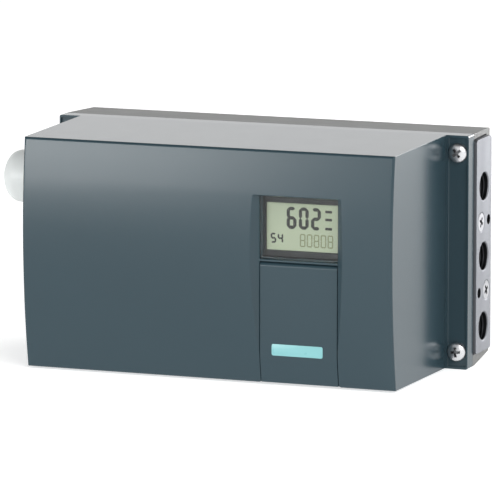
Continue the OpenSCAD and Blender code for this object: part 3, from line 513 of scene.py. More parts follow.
def mark_hollow_shade(mesh: Mesh, test: Callable[[Vector], bool]) -> None:
    """Mark the faces of a mesh that lie in a hollow, where painted shade darkens them.

    Args:
        mesh: Mesh that gets the hollow attribute.
        test: Says from a face's middle, in millimetres, whether it is in a hollow.
    """
    attribute = mesh.attributes.new("hollow", "FLOAT", "FACE")
    for face, row in zip(mesh.polygons, attribute.data):
        row.value = 1.0 if test(face.center / MM) else 0.0


def aim(axis: Point, spin: float = 0.0) -> Point:
    """Euler turn that brings +Z onto an axis, with a spin in degrees about it."""
    turn = Vector(axis).to_track_quat("Z", "Y").to_matrix()
    return tuple((turn @ Matrix.Rotation(math.radians(spin), 3, "Z")).to_euler("XYZ"))


def dress(obj: Piece, finish: Finish, *nodes: str, body: str = "", slot: str = "") -> None:
    """Give a piece its finish and its body, and hide the CAD nodes that it stands for.

    Args:
        obj: The finished piece.
        finish: Finish of its surface.
        nodes: CAD nodes that it replaces.
        body: Body that it rides on; by default the first node's.
        slot: Material slot in the record; not used.
    """
    if not obj.data.materials:
        obj.data.materials.append(finish.material())
    else:
        obj.data.materials[0] = finish.material()
    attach(obj, body or NODE_BODY[nodes[0]])
    if nodes:
        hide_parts(*nodes)
    LOG.info("%s: %d faces", obj.name, len(obj.data.polygons))


def merged(node: str) -> Work:
    """Copy of a CAD node's mesh with its doubles merged and its flat faces joined.

    Args:
        node: The CAD node.

    Returns:
        The working mesh.
    """
    bm = bmesh.new()
    bm.from_mesh(frame["nodes"][node].data)
    bmesh.ops.remove_doubles(bm, verts=bm.verts, dist=2e-6)
    bmesh.ops.dissolve_limit(
        bm, angle_limit=math.radians(0.4), use_dissolve_boundaries=False,
        verts=bm.verts, edges=bm.edges, delimit=set(),
    )
    return bm


def sharp_edges(bm: Work) -> list[Edge]:
    """The edges of a mesh that turn enough to be rounded."""
    pairs = [edge for edge in bm.edges if len(edge.link_faces) == 2]
    return [edge for edge in pairs if edge.calc_face_angle(0.0) > SHARP_ANGLE]


def room_beside(bm: Work, sharp: set[int]) -> dict[int, float]:
    """Widest rounding that fits beside each sharp edge.

    Args:
        bm: Mesh with its edges numbered.
        sharp: Numbers of the sharp edges.

    Returns:
        Room in metres by the number of the edge.
    """
    room = dict.fromkeys(sharp, FREE)
    for face in bm.faces:
        numbers = [loop.edge.index for loop in face.loops]
        starts = np.array([loop.vert.co for loop in face.loops])
        ways = np.roll(starts, -1, axis=0) - starts
        length = np.maximum(np.linalg.norm(ways, axis=1), 1e-9)
        unit = ways / length[:, None]
        corner = np.einsum("ij,ij->i", unit, np.roll(unit, 1, axis=0)) < CHAIN_TURN
        chain = np.cumsum(corner)
        chain[chain == chain[-1]] = chain[-1] if corner[0] else chain[0]
        for i, number in enumerate(numbers):
            if number not in sharp:
                continue
            after = (i + 1) % len(numbers)
            offset = starts[i] + ways[i] / 2 - starts
            along = np.clip(np.einsum("ij,ij->i", offset, ways) / length**2, 0.0, 1.0)
            gap = np.linalg.norm(offset - along[:, None] * ways, axis=1)
            gap[(chain == chain[i]) & (unit @ unit[i] > -0.5)] = FREE
            gap[[i - 1, after]] = FREE
            if corner[i]:
                gap[i - 1] = length[i - 1]
            if corner[after]:
                gap[after] = length[after]
            room[number] = min(room[number], float(gap.min()) * ROOM_SHARE)
    return room


def rounded(bm: Work, name: str, radius_mm: float, segments: int) -> Piece:
    """Object with the weighted edges of a mesh rounded.

    Args:
        bm: Mesh whose edges carry bevel weights.
        name: Name of the object; one that bears it is replaced.
        radius_mm: Width of the rounding at full weight, in millimetres.
        segments: Facets across the rounding.

    Returns:
        The object, with a plain mesh.
    """
    old = bpy.data.objects.get(name)
    if old:
        bpy.data.meshes.remove(old.data)
    mesh = bpy.data.meshes.new(name)
    bm.to_mesh(mesh)
    mesh.materials.clear()
    mesh.shade_smooth()
    obj = link(name, mesh)
    bevel = obj.modifiers.new("edge", "BEVEL")
    bevel.width = radius_mm * MM
    bevel.segments = segments
    bevel.limit_method = "WEIGHT"
    bevel.use_clamp_overlap = False
    bevel.loop_slide = False
    bevel.miter_outer = "MITER_ARC"
    return settle(obj)


def chains_of(edges: Sequence[Edge]) -> list[list[Edge]]:
    """Sort edges into chains that run on without a corner.

    Args:
        edges: Edges with their numbers.

    Returns:
        The edges of each chain.
    """
    left = {edge.index: edge for edge in edges}
    chains: list[list[Edge]] = []
    while left:
        open_ends = [left.popitem()[1]]
        chain = []
        while open_ends:
            edge = open_ends.pop()
            chain.append(edge)
            for vert in edge.verts:
                way = (vert.co - edge.other_vert(vert).co).normalized()
                for other in vert.link_edges:
                    onward = (other.other_vert(vert).co - vert.co).normalized()
                    if other.index in left and way.dot(onward) > CHAIN_TURN:
                        open_ends.append(left.pop(other.index))
        chains.append(chain)
    return chains


def crossings(mesh: Mesh) -> list[Vector]:
    """Find the faces of a mesh that cut through a face which they don't adjoin.

    Args:
        mesh: Mesh to search.

    Returns:
        Middle of the smaller face of each pair.
    """
    bm = bmesh.new()
    bm.from_mesh(mesh)
    bm.faces.ensure_lookup_table()
    tree = BVHTree.FromBMesh(bm)
    pairs = [(bm.faces[i], bm.faces[j]) for i, j in tree.overlap(tree) if i < j]
    apart = [pair for pair in pairs if not set(pair[0].verts) & set(pair[1].verts)]
    points = [min(pair, key=lambda f: f.calc_area()).calc_center_median() for pair in apart]
    bm.free()
    return points


def ease_chains(
    chains: Sequence[Sequence[Edge]], widths: list[float], strays: Sequence[Vector]
) -> None:
    """Lessen the rounding of the chains nearest to stray points.

    Args:
        chains: Chains of sharp edges.
        widths: Share of the full rounding that each chain takes, changed in place.
        strays: Points of the rounding that left the surface.
    """
    wide = [(i, chain) for i, chain in enumerate(chains) if widths[i] > 0]
    ends = [(vert.co, i) for i, chain in wide for edge in chain for vert in edge.verts]
    if not ends:
        return
    tree = KDTree(len(ends))
    for i, (point, _) in enumerate(ends):
        tree.insert(point, i)
    tree.balance()
    for i in {ends[near][1] for stray in strays for _, near, _ in tree.find_n(stray, NEAREST)}:
        widths[i] = widths[i] * EASE if widths[i] > LEAST else 0.0


def softened(
    node: str, piece: str, finish: Finish, radius_mm: float, segments: int = 2, *, share: Share
) -> None:
    """Build a CAD node's shape with its sharp edges rounded, in place of that node.

    Args:
        node: CAD node to copy.
        piece: Name of the new piece.
        finish: Finish of its surface.
        radius_mm: Width of the rounding in millimetres.
        segments: Facets across the rounding.
        share: Gives the share of the rounding that an edge takes, from its middle in millimetres.
    """
    bm = merged(node)
    weight = bm.edges.layers.float.new("bevel_weight_edge")
    bm.edges.index_update()
    edges = sharp_edges(bm)
    room = room_beside(bm, {edge.index for edge in edges})
    chains = chains_of(edges)
    widths = []
    for chain in chains:
        middles = [(edge.verts[0].co + edge.verts[1].co) / (2 * MM) for edge in chain]
        wanted = min(share(middle) for middle in middles)
        widths.append(min(wanted, min(room[edge.index] for edge in chain) / (radius_mm * MM)))
    outside = BVHTree.FromBMesh(bm)
    limit = radius_mm * MM * STRAY
    for _ in range(FIT_TRIES):
        for chain, width in zip(chains, widths):
            for edge in chain:
                edge[weight] = width
        obj = rounded(bm, piece, radius_mm, segments)
        points = [vert.co.copy() for vert in obj.data.vertices]
        strays = [point for point in points if outside.find_nearest(point)[3] > limit]
        strays += crossings(obj.data)
        if not strays:
            break
        ease_chains(chains, widths, strays)
    bm.free()
    smooth(obj.data)
    obj.modifiers.new("even", "WEIGHTED_NORMAL").keep_sharp = True
    dress(settle(obj), finish, node)


class NodeRig(Nodes):
    """A Geometry Nodes tree with named inputs for its sizes."""

    def __init__(self, name: str, **inputs: float | Piece) -> None:
        """Start a tree that takes and gives geometry.

        Args:
            name: Name of the tree.
            inputs: Value of each named input, in metres where it is a length.
        """
        super().__init__(bpy.data.node_groups.new(name, "GeometryNodeTree"))
        face = self.tree.interface
        for way in ("INPUT", "OUTPUT"):
            face.new_socket("Geometry", in_out=way, socket_type="NodeSocketGeometry")
        self.values: dict[str, float | Piece] = {}
        for label, value in inputs.items():
            kind = "NodeSocketFloat" if isinstance(value, float) else "NodeSocketObject"
            item = face.new_socket(label, in_out="INPUT", socket_type=kind)
            self.values[item.identifier] = value
        self.entry = self.add("NodeGroupInput").outputs

    def shape(self, label: str) -> Socket:
        """Geometry of the object that a named input holds."""
        info = self.add("GeometryNodeObjectInfo", {"Object": self.entry[label]})
        return info.outputs["Geometry"]

    def sweep(self, path: Socket, label: str, sides: int) -> Socket:
        """Rod along a path.

        Args:
            path: Curve that the rod follows.
            label: Named input that holds its radius.
            sides: Facets round the rod.

        Returns:
            The rod's mesh.
        """
        inputs = {"Resolution": sides, "Radius": self.entry[label]}
        circle = self.add("GeometryNodeCurvePrimitiveCircle", inputs).outputs["Curve"]
        inputs = {"Curve": path, "Profile Curve": circle, "Fill Caps": True}
        return self.add("GeometryNodeCurveToMesh", inputs).outputs["Mesh"]

    def run(self, obj: Piece, shape: Socket, finish: Finish) -> Piece:
        """Set a shape out on a host's points and keep the result as a plain mesh.

        Args:
            obj: Host with points and a turn attribute.
            shape: What stands on every point.
            finish: Finish of every copy.

        Returns:
            The host, now the real geometry of all copies.
        """
        turn = self.add(
            "GeometryNodeInputNamedAttribute", {"Name": "turn"}, data_type="FLOAT_VECTOR"
        )
        spin = self.add("FunctionNodeEulerToRotation", {"Euler": turn.outputs["Attribute"]})
        copies = self.add("GeometryNodeInstanceOnPoints", {
            "Points": self.entry["Geometry"],
            "Instance": shape,
            "Rotation": spin.outputs["Rotation"],
        })
        inputs = {"Geometry": copies.outputs["Instances"]}
        real = self.add("GeometryNodeRealizeInstances", inputs)
        inputs = {"Geometry": real.outputs["Geometry"], "Material": finish.material()}
        coat = self.add("GeometryNodeSetMaterial", inputs)
        self.add("NodeGroupOutput", {"Geometry": coat.outputs["Geometry"]})
        modifier = obj.modifiers.new("rig", "NODES")
        modifier.node_group = self.tree
        for identifier, value in self.values.items():
            modifier[identifier] = value
        return settle(obj)


def host(name: str, points: Sequence[Point], turns: Sequence[Point] = ()) -> Piece:
    """Loose points that a tree puts its instances on.

    Args:
        name: Name of the piece that the points become.
        points: Places in the row frame, in millimetres.
        turns: Euler turn of each instance, in radians; none means unturned.

    Returns:
        An object with one vertex a point and a turn attribute.
    """
    mesh = bpy.data.meshes.new(name)
    mesh.from_pydata([[c * MM for c in p] for p in points], [], [])
    attribute = mesh.attributes.new("turn", "FLOAT_VECTOR", "POINT")
    for row, turn in zip(attribute.data, turns or [(0.0, 0.0, 0.0)] * len(points)):
        row.vector = turn
    return link(name, mesh)


def set_out(obj: Piece, part: Piece, finish: Finish) -> Piece:
    """Set a part out on an object's points with Geometry Nodes.

    Args:
        obj: Host with points and a turn attribute.
        part: Pattern that is set out; it is removed afterwards.
        finish: Finish of every copy.

    Returns:
        The host, now the real geometry of all copies.
    """
    rig = NodeRig(obj.name + "_layout", Part=part)
    rig.run(obj, rig.shape("Part"), finish)
    bpy.data.objects.remove(part)
    return obj


@dataclass
class Threads:
    """Helical thread ridges of a hole, in millimetres."""

    radius: float
    pitch: float
    depth: float

    def cut(self, obj: Piece, finish: Finish) -> Piece:
        """Build one helix on each point of a host, with Geometry Nodes.

        Args:
            obj: Host with the start of each thread, turned so that +Z runs along its hole.
            finish: Finish of the ridges.

        Returns:
            The host, now the ridges.
        """
        rig = NodeRig(
            obj.name + "_helix", Radius=self.radius * MM, Depth=self.depth * MM,
            Ridge=self.pitch * 0.34 * MM, Turns=self.depth / self.pitch,
        )
        spiral = rig.add("GeometryNodeCurveSpiral", {
            "Resolution": 40,
            "Start Radius": rig.entry["Radius"],
            "End Radius": rig.entry["Radius"],
            "Height": rig.entry["Depth"],
            "Rotations": rig.entry["Turns"],
        })
        return rig.run(obj, rig.sweep(spiral.outputs["Curve"], "Ridge", 4), finish)


def lathe(name: str, profile: Outline, steps: int) -> Piece:
    """Turn a profile about the Z axis into a closed shape.

    Args:
        name: Name of the object.
        profile: Radius and height of each point in millimetres, from the axis round to the axis.
        steps: Facets round the axis.

    Returns:
        The turned object, in metres.
    """
    bm = bmesh.new()
    angles = [2 * math.pi * i / steps for i in range(steps)]
    rings: list[list[bmesh.types.BMVert]] = []
    for radius, height in profile:
        r, z = radius * MM, height * MM
        places = [(r * math.cos(a), r * math.sin(a), z) for a in angles]
        rings.append([bm.verts.new(p) for p in (places if radius > 1e-6 else [(0.0, 0.0, z)])])
    for low, high in zip(rings, rings[1:]):
        for i in range(steps):
            j = (i + 1) % steps
            corners = [low[k % len(low)] for k in (i, j)] + [high[k % len(high)] for k in (j, i)]
            face = list(dict.fromkeys(corners))
            if len(face) > 2:
                bm.faces.new(face)
    bmesh.ops.recalc_face_normals(bm, faces=bm.faces)
    return made(bm, name)


def slab(name: str, outline: Outline, y_back: float, thick: float, edge: float = 0.0) -> Piece:
    """A flat outline of the XZ plane, raised towards the front, with a softened front edge.

    Args:
        name: Name of the piece.
        outline: Corners as x and z in millimetres.
        y_back: Depth of its back face, in millimetres.
        thick: Thickness, in millimetres.
        edge: Rounding of the front edge, in millimetres.

    Returns:
        The raised piece.
    """
    bm = bmesh.new()
    face = bm.faces.new([bm.verts.new((x * MM, y_back * MM, z * MM)) for x, z in outline])
    grown = bmesh.ops.extrude_face_region(bm, geom=[face])
    front = [v for v in grown["geom"] if isinstance(v, bmesh.types.BMVert)]
    bmesh.ops.translate(bm, verts=front, vec=(0.0, -thick * MM, 0.0))
    bmesh.ops.recalc_face_normals(bm, faces=bm.faces)
    if edge > 0:
        chosen = set(front)
        rim = [e for e in bm.edges if e.verts[0] in chosen and e.verts[1] in chosen]
        bmesh.ops.bevel(bm, geom=rim, offset=edge * MM, segments=2, affect="EDGES", profile=0.5)
    obj = made(bm, name)
    smooth(obj.data)
    return obj


def round_outline(x: float, z: float, w: float, h: float, r: float, n: int = 5) -> Outline:
    """Corners of a rectangle with round corners.

    Args:
        x: Centre across, in millimetres.
        z: Centre in height.
        w: Width.
        h: Height.
        r: Radius of its corners.
        n: Facets of a corner.

    Returns:
        The points in order.
    """
    points: list[tuple[float, float]] = []
    for sx, sz, start in ((1, 1, 0), (-1, 1, 90), (-1, -1, 180), (1, -1, 270)):
        cx, cz = x + sx * (w / 2 - r), z + sz * (h / 2 - r)
        for i in range(n + 1):
            a = math.radians(start + 90 * i / n)
            points.append((cx + r * math.cos(a), cz + r * math.sin(a)))
    return points


@dataclass
class PanScrew:
    """Pan-head screw with a cross recess, drawn with its seat at z = 0 and its head up."""

    head_d: float
    shank_d: float
    length: float
    chamfer: float = 0.4
    pan_share: float = 0.33

    def high(self) -> float:
        """Height of the head above the seat."""
        return self.head_d * self.pan_share

    def shank(self) -> list[tuple[float, float]]:
        """Profile of the shank, from its tip up to the seat."""
        r, low = self.shank_d / 2, -self.length
        return [(0.0, low), (r - self.chamfer, low), (r, low + self.chamfer)]

    def head(self) -> list[tuple[float, float]]:
        """Profile of the head, from the shank out and up to the axis.

        Returns:
            Radius and height of each point.
        """
        r, high, steps = self.head_d / 2, self.high(), 8
        rows = [(self.shank_d / 2, 0.0), (r * 0.94, 0.0), (r, high * 0.08), (r * 0.995, high * 0.3)]
        for i in range(1, steps + 1):
            a = math.radians(12 + 78 * i / steps)
            reach = r * 0.985 * math.cos(a) ** 0.9 if i < steps else 0.0
            rows.append((reach, high * (0.3 + 0.7 * math.sin(a))))
        return rows

    def pattern(self, name: str) -> Piece:
        """Head, recess and shank of one screw.

        Args:
            name: Name of the pattern object.

        Returns:
            The pattern, ready to be set out.
        """
        rows, high = self.head(), self.high()
        top = rows[-1][1]
        body = lathe(name, self.shank() + rows, 56)
        cutter = self.recess(name + "_cutter")
        cut = body.modifiers.new("recess", "BOOLEAN")
        cut.operation = "DIFFERENCE"
        cut.solver = "EXACT"
        cut.use_self = True
        cut.object = cutter
        settle(body)
        bpy.data.objects.remove(cutter)
        smooth(body.data, 40)
        crown = sorted(row for row in rows if row[1] >= top - high * 0.75 - 1e-6)

        def sunk(middle: Vector) -> bool:
            """Whether a face lies under the head's outer form.

            Args:
                middle: Middle of the face, in millimetres.

            Returns:
                True in the recess.
            """
            r = math.hypot(middle.x, middle.y)
            above = max((z for radius, z in crown if radius >= r - 1e-6), default=0.0)
            return r < self.head_d * 0.34 and top - high < middle.z < above - 0.06

        # The recess faces get painted shade through the hollow mark.
        mark_hollow_shade(body.data, sunk)
        return body

    def recess(self, name: str) -> Piece:
        """Tapered cross that is cut out of the head.

        Args:
            name: Name of the object.

        Returns:
            The cross.
        """
        bm = bmesh.new()
        top, high = self.head()[-1][1], self.head_d * self.pan_share
        reach, width = self.head_d * 0.31, self.head_d * 0.062
        mouth = (reach, width * 1.2, top + high * 0.2)
        tip = (reach * 0.45, width * 0.85, top - high * 0.72)
        around = ((1, 1), (-1, 1), (-1, -1), (1, -1))
        for turn in (0.0, 90.0):
            upper, lower = (
                [bm.verts.new(Vector((sx * x, sy * y, z)) * MM) for sx, sy in around]
                for x, y, z in (mouth, tip)
            )
            bm.faces.new(upper)
            bm.faces.new(lower[::-1])
            for i in range(4):
                j = (i + 1) % 4
                bm.faces.new([upper[j], upper[i], lower[i], lower[j]])
            spin = Matrix.Rotation(math.radians(turn), 3, "Z")
            bmesh.ops.rotate(bm, verts=upper + lower, cent=(0, 0, 0), matrix=spin)
        bmesh.ops.recalc_face_normals(bm, faces=bm.faces)
        return made(bm, name)

    def row(
        self, name: str, points: Sequence[Point], axis: Point, spins: Sequence[float],
        finish: Finish, node: str,
    ) -> None:
        """Set screws out on points and dress them in place of a CAD node.

        Args:
            name: Name of the piece.
            points: Seat of each screw, in millimetres.
            axis: Direction that the heads face.
            spins: Turn of each recess, in degrees.
            finish: Finish of the screws.
            node: CAD node that they stand for.
        """
        seats = host(name, points, [aim(axis, spin) for spin in spins])
        dress(set_out(seats, self.pattern(name + "_pattern"), finish), finish, node)


@dataclass
class FlatScrew(PanScrew):
    """Countersunk screw with a cross recess, drawn with its face at z = 0."""

    def high(self) -> float:
        """Height of the cone under the face."""
        return (self.head_d - self.shank_d) / 2

    def head(self) -> list[tuple[float, float]]:
        """Profile of the cone and the face, from the shank out and up to the axis."""
        r, cone = self.head_d / 2, (self.shank_d / 2, -self.high())
        return [cone, (r - 0.12, -0.12), (r - 0.2, -0.02), (r * 0.5, 0.0), (0.0, 0.0)]


class SubAssembly:
    """A group of pieces: CAD nodes with softened edges, and pieces that are built here."""

    # CAD nodes to soften: node, piece, finish, radius in millimetres, and facets if not two.
    SOFT: Sequence[tuple] = ()

    def build(self) -> None:
        """Build every piece of the group."""
        for row in self.SOFT:
            softened(*row, share=partial(self.edge_share, row[0]))
        self.details()

    def edge_share(self, node: str, middle: Vector) -> float:
        """Share of the rounding that a node's edge takes, from its middle in millimetres."""
        return 1.0

    def details(self) -> None:
        """Build the pieces that are more than a softened CAD node; by default there are none."""


@dataclass
class FrontCover(SubAssembly):
    """Crowned cover with its window, key flap, bare plate, screws, seal and hinge pin."""

    front_half_w: float = 79.7
    front_half_h: float = 47.4
    front_y: float = -85.0
    rim_y: tuple[float, float] = (-34.2, -33.4)
    edge_reach: float = 1.2
    screw_x: float = 85.25
    screw_z: float = 41.0
    flange_y: float = -33.0
    flap_face_y: float = -95.0
    plate_x: float = 38.6
    plate_z: float = -33.4
    plate_w: float = 21.8
    plate_h: float = 4.7
    plate_r: float = 0.7

    SOFT = (
        ("front_cover", "cover_shell", Finishes.CASE, 1.0, 3),
        ("key_flap", "flap_panel", Finishes.CASE, 0.3),
        ("display_window", "window_pane", Finishes.CLEAR, 0.15, 1),
        ("housing_gasket", "case_seal", Finishes.RUBBER, 0.3),
        ("hinge_pin", "flap_pin", Finishes.STEEL, 0.1, 1),
    )

    def edge_share(self, node: str, middle: Vector) -> float:
        """Rounding of an edge: on the cover itself, it is full on the front's outer edges only.

        Args:
            node: CAD node that the edge is on.
            middle: Middle of the edge, in millimetres.

        Returns:
            Share of the full rounding.
        """
        upright = abs(abs(middle.x - CASE_X) - self.front_half_w) < self.edge_reach
        level = abs(abs(middle.z) - self.front_half_h) < self.edge_reach
        front = middle.y < self.front_y and (upright or level)
        if front or node != "front_cover":
            return 1.0
        return 0.7 if self.rim_y[0] < middle.y < self.rim_y[1] else 0.35

    def details(self) -> None:
        """Build the four cover screws and the bare plate low on the flap."""
        x, y, z = self.screw_x, self.flange_y, self.screw_z
        seats = [(CASE_X + sx * x, y, sz * z) for sx, sz in CORNERS]
        axis, spins = (0.0, -1.0, 0.0), (38.0, 4.0, 71.0, 23.0)
        screw = PanScrew(head_d=8.0, shank_d=4.0, length=10.4)
        screw.row("cover_screw_set", seats, axis, spins, Finishes.NICKEL, "cover_screws")
        outline = round_outline(
            CASE_X + self.plate_x, self.plate_z, self.plate_w, self.plate_h, self.plate_r
        )
        plate = slab("flap_plate", outline, self.flap_face_y + 0.05, thick=0.2, edge=0.08)
        dress(plate, Finishes.TEAL, body="flap", slot="case_plastic")


@dataclass
class BaseTray(SubAssembly):
    """Base housing with its threaded inserts, bush, shaft seal and silencer."""

    mount_dx: float = 50.0
    mount_dz: float = 60.0
    mount_y: float = -0.6
    mount_r: float = 3.4

    SOFT = (
        ("base_housing", "base_tray", Finishes.BASE, 0.4),
        ("rear_inserts", "mount_inserts", Finishes.BRASS, 0.25, 1),
        ("cover_inserts", "screw_inserts", Finishes.BRASS, 0.12, 1),
        ("shaft_bush", "bush", Finishes.BRASS, 0.2, 1),
        ("shaft_seal", "lip_seal", Finishes.RUBBER, 0.3),
        ("exhaust_silencer", "silencer", Finishes.BRONZE, 0.4),
    )

    def details(self) -> None:
        """Build the thread ridges of the rear mounts."""
        half_x, half_z = self.mount_dx / 2, self.mount_dz / 2
        places = [(sx * half_x, self.mount_y, sz * half_z) for sx, sz in CORNERS]
        holes = host("mount_threads", places, [(math.radians(90), 0.0, 0.0)] * len(places))
        ridges = Threads(self.mount_r + 0.02, pitch=1.25, depth=9.6).cut(holes, Finishes.BRASS)
        dress(ridges, Finishes.BRASS, body="housing", slot="brass")


@dataclass
class PortPlate(SubAssembly):
    """Metal port plate with its threads, screens, gasket and fixing screws."""

    face_x: float = 91.0
    mid_y: float = -16.5
    mid_z: float = -3.7
    pitch: float = 29.0
    port_r: float = 5.72
    gauge_r: float = 2.1
    gauge_dy: float = 5.8
    screw_dy: float = 3.4
    screen_r: float = 4.44
    screen_rim: float = 0.9
    wires: int = 11
    wire_r: float = 0.13
    wire_lift: float = 0.11
    wire_pitch: float = 0.72

    SOFT = (
        ("port_plate", "plate_body", Finishes.SILVER, 0.3),
        ("port_plate_gasket", "plate_gasket", Finishes.RUBBER, 0.1, 1),
    )

    def details(self) -> None:
        """Mark the bores of the plate for painted shade, and build the screens, screws and thread
        ridges.
        """
        # Faces inside the ports and gauge holes get painted shade.
        mark_hollow_shade(bpy.data.objects["plate_body"].data, self.in_bore)
        self.screens()
        self.screws()
        self.port_threads()

    def ports(self, x: float) -> list[Point]:
        """A point on the axis of each port, at a place across the case."""
        return [(x, self.mid_y, self.mid_z + i * self.pitch) for i in (-1, 0, 1)]

    def between(self, x: float, dy: float) -> list[Point]:
        """The two points between the ports, at a place across the case and set off by dy."""
        return [(x, self.mid_y + s * dy, self.mid_z + s * self.pitch / 2) for s in (-1, 1)]

    def in_bore(self, middle: Vector) -> bool:
        """Whether a face of the plate lies inside a port or a gauge hole.

        Args:
            middle: Middle of the face, in millimetres.

        Returns:
            True inside a hole, below its mouth.
        """
        if middle.x > CASE_X + self.face_x - 0.3:
            return False
        holes = [(point, self.port_r) for point in self.ports(0.0)]
        holes += [(point, self.gauge_r) for point in self.between(0.0, self.gauge_dy)]
        return any(math.hypot(middle.y - y, middle.z - z) < r + 0.05 for (_, y, z), r in holes)

    def screens(self) -> None:
        """Build a woven wire screen in a ring at the bottom of each port."""
        low, high = (Vector(corner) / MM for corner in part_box("port_screens"))
        half, r, inner = (high.x - low.x) / 2, self.screen_r, self.screen_r - self.screen_rim
        ring = [(inner, -half), (r, -half), (r, half), (inner, half), (inner, -half)]
        weave = lathe("screen_pattern", ring, 40)
        bm = bmesh.new()
        bm.from_mesh(weave.data)
        for k in range(self.wires):
            offset = (k - (self.wires - 1) / 2) * self.wire_pitch
            reach = math.sqrt(max((r - 0.5) ** 2 - offset**2, 0.0))
            for turn, lift in ((0.0, self.wire_lift), (90.0, -self.wire_lift)):
                lay = Matrix.Translation(Vector((0.0, offset, lift)) * MM)
                bmesh.ops.create_cone(
                    bm, cap_ends=True, segments=6, depth=2 * reach * MM,
                    radius1=self.wire_r * MM, radius2=self.wire_r * MM,
                    matrix=Matrix.Rotation(math.radians(turn), 4, "Z")
                    @ lay @ Matrix.Rotation(math.radians(90), 4, "Y"),
                )
        bm.to_mesh(weave.data)
        bm.free()
        smooth(weave.data, 50)
        seats = host("screens", self.ports((low.x + high.x) / 2), [aim((1.0, 0.0, 0.0))] * 3)
        dress(set_out(seats, weave, Finishes.STEEL), Finishes.STEEL, "port_screens")

    def screws(self) -> None:
        """Build the two fixing screws."""
        seats = self.between(CASE_X + self.face_x - 0.02, -self.screw_dy)
        screw = FlatScrew(head_d=7.96, shank_d=4.0, length=19.9)
        axis, spins = (1.0, 0.0, 0.0), (30.0, 62.0)
        screw.row("plate_screw_set", seats, axis, spins, Finishes.STEEL, "port_plate_screws")

    def port_threads(self) -> None:
        """Build the thread ridges of the three ports, in dark metal that paints the shade inside
        them.
        """
        turns = [(0.0, math.radians(-90), 0.0)] * 3
        holes = host("port_threads", self.ports(CASE_X + self.face_x - 1.2), turns)
        ridges = Threads(self.port_r + 0.03, pitch=1.34, depth=8.8).cut(holes, Finishes.BORE)
        dress(ridges, Finishes.BORE, body="housing", slot="aluminium")


@dataclass
class CableEntries(SubAssembly):
    """Cable gland on the upper entry and blanking plug on the lower one."""

    edge: float = 0.3
    hexagon_edge: float = 0.4

    SOFT = (
        ("gland_nut", "gland_dome", Finishes.PALE, edge),
        ("gland_body", "gland_hexagon", Finishes.PALE, hexagon_edge),
        ("gland_insert", "gland_rubber", Finishes.RUBBER, edge),
        ("gland_seal", "gland_seat_seal", Finishes.RUBBER, edge),
        ("blanking_plug", "entry_plug", Finishes.PALE, edge),
        ("plug_seal", "plug_seat_seal", Finishes.RUBBER, edge),
    )


class Stroke(Enum):
    """Strokes of a display figure: centre across and up as shares of its size, and if upright."""

    TOP = (0.0, 1.0, False)
    UPPER_LEFT = (-0.5, 0.5, True)
    UPPER_RIGHT = (0.5, 0.5, True)
    MIDDLE = (0.0, 0.0, False)
    LOWER_LEFT = (-0.5, -0.5, True)
    LOWER_RIGHT = (0.5, -0.5, True)
    FOOT = (0.0, -1.0, False)


FIGURES: dict[str, str] = {
    "0": "TOP UPPER_LEFT UPPER_RIGHT LOWER_LEFT LOWER_RIGHT FOOT",
    "2": "TOP UPPER_RIGHT MIDDLE LOWER_LEFT FOOT",
    "4": "UPPER_LEFT UPPER_RIGHT MIDDLE LOWER_RIGHT",
    "5": "TOP UPPER_LEFT MIDDLE LOWER_RIGHT FOOT",
    "6": "TOP UPPER_LEFT MIDDLE LOWER_LEFT LOWER_RIGHT FOOT",
    "8": "TOP UPPER_LEFT UPPER_RIGHT MIDDLE LOWER_LEFT LOWER_RIGHT FOOT",
}


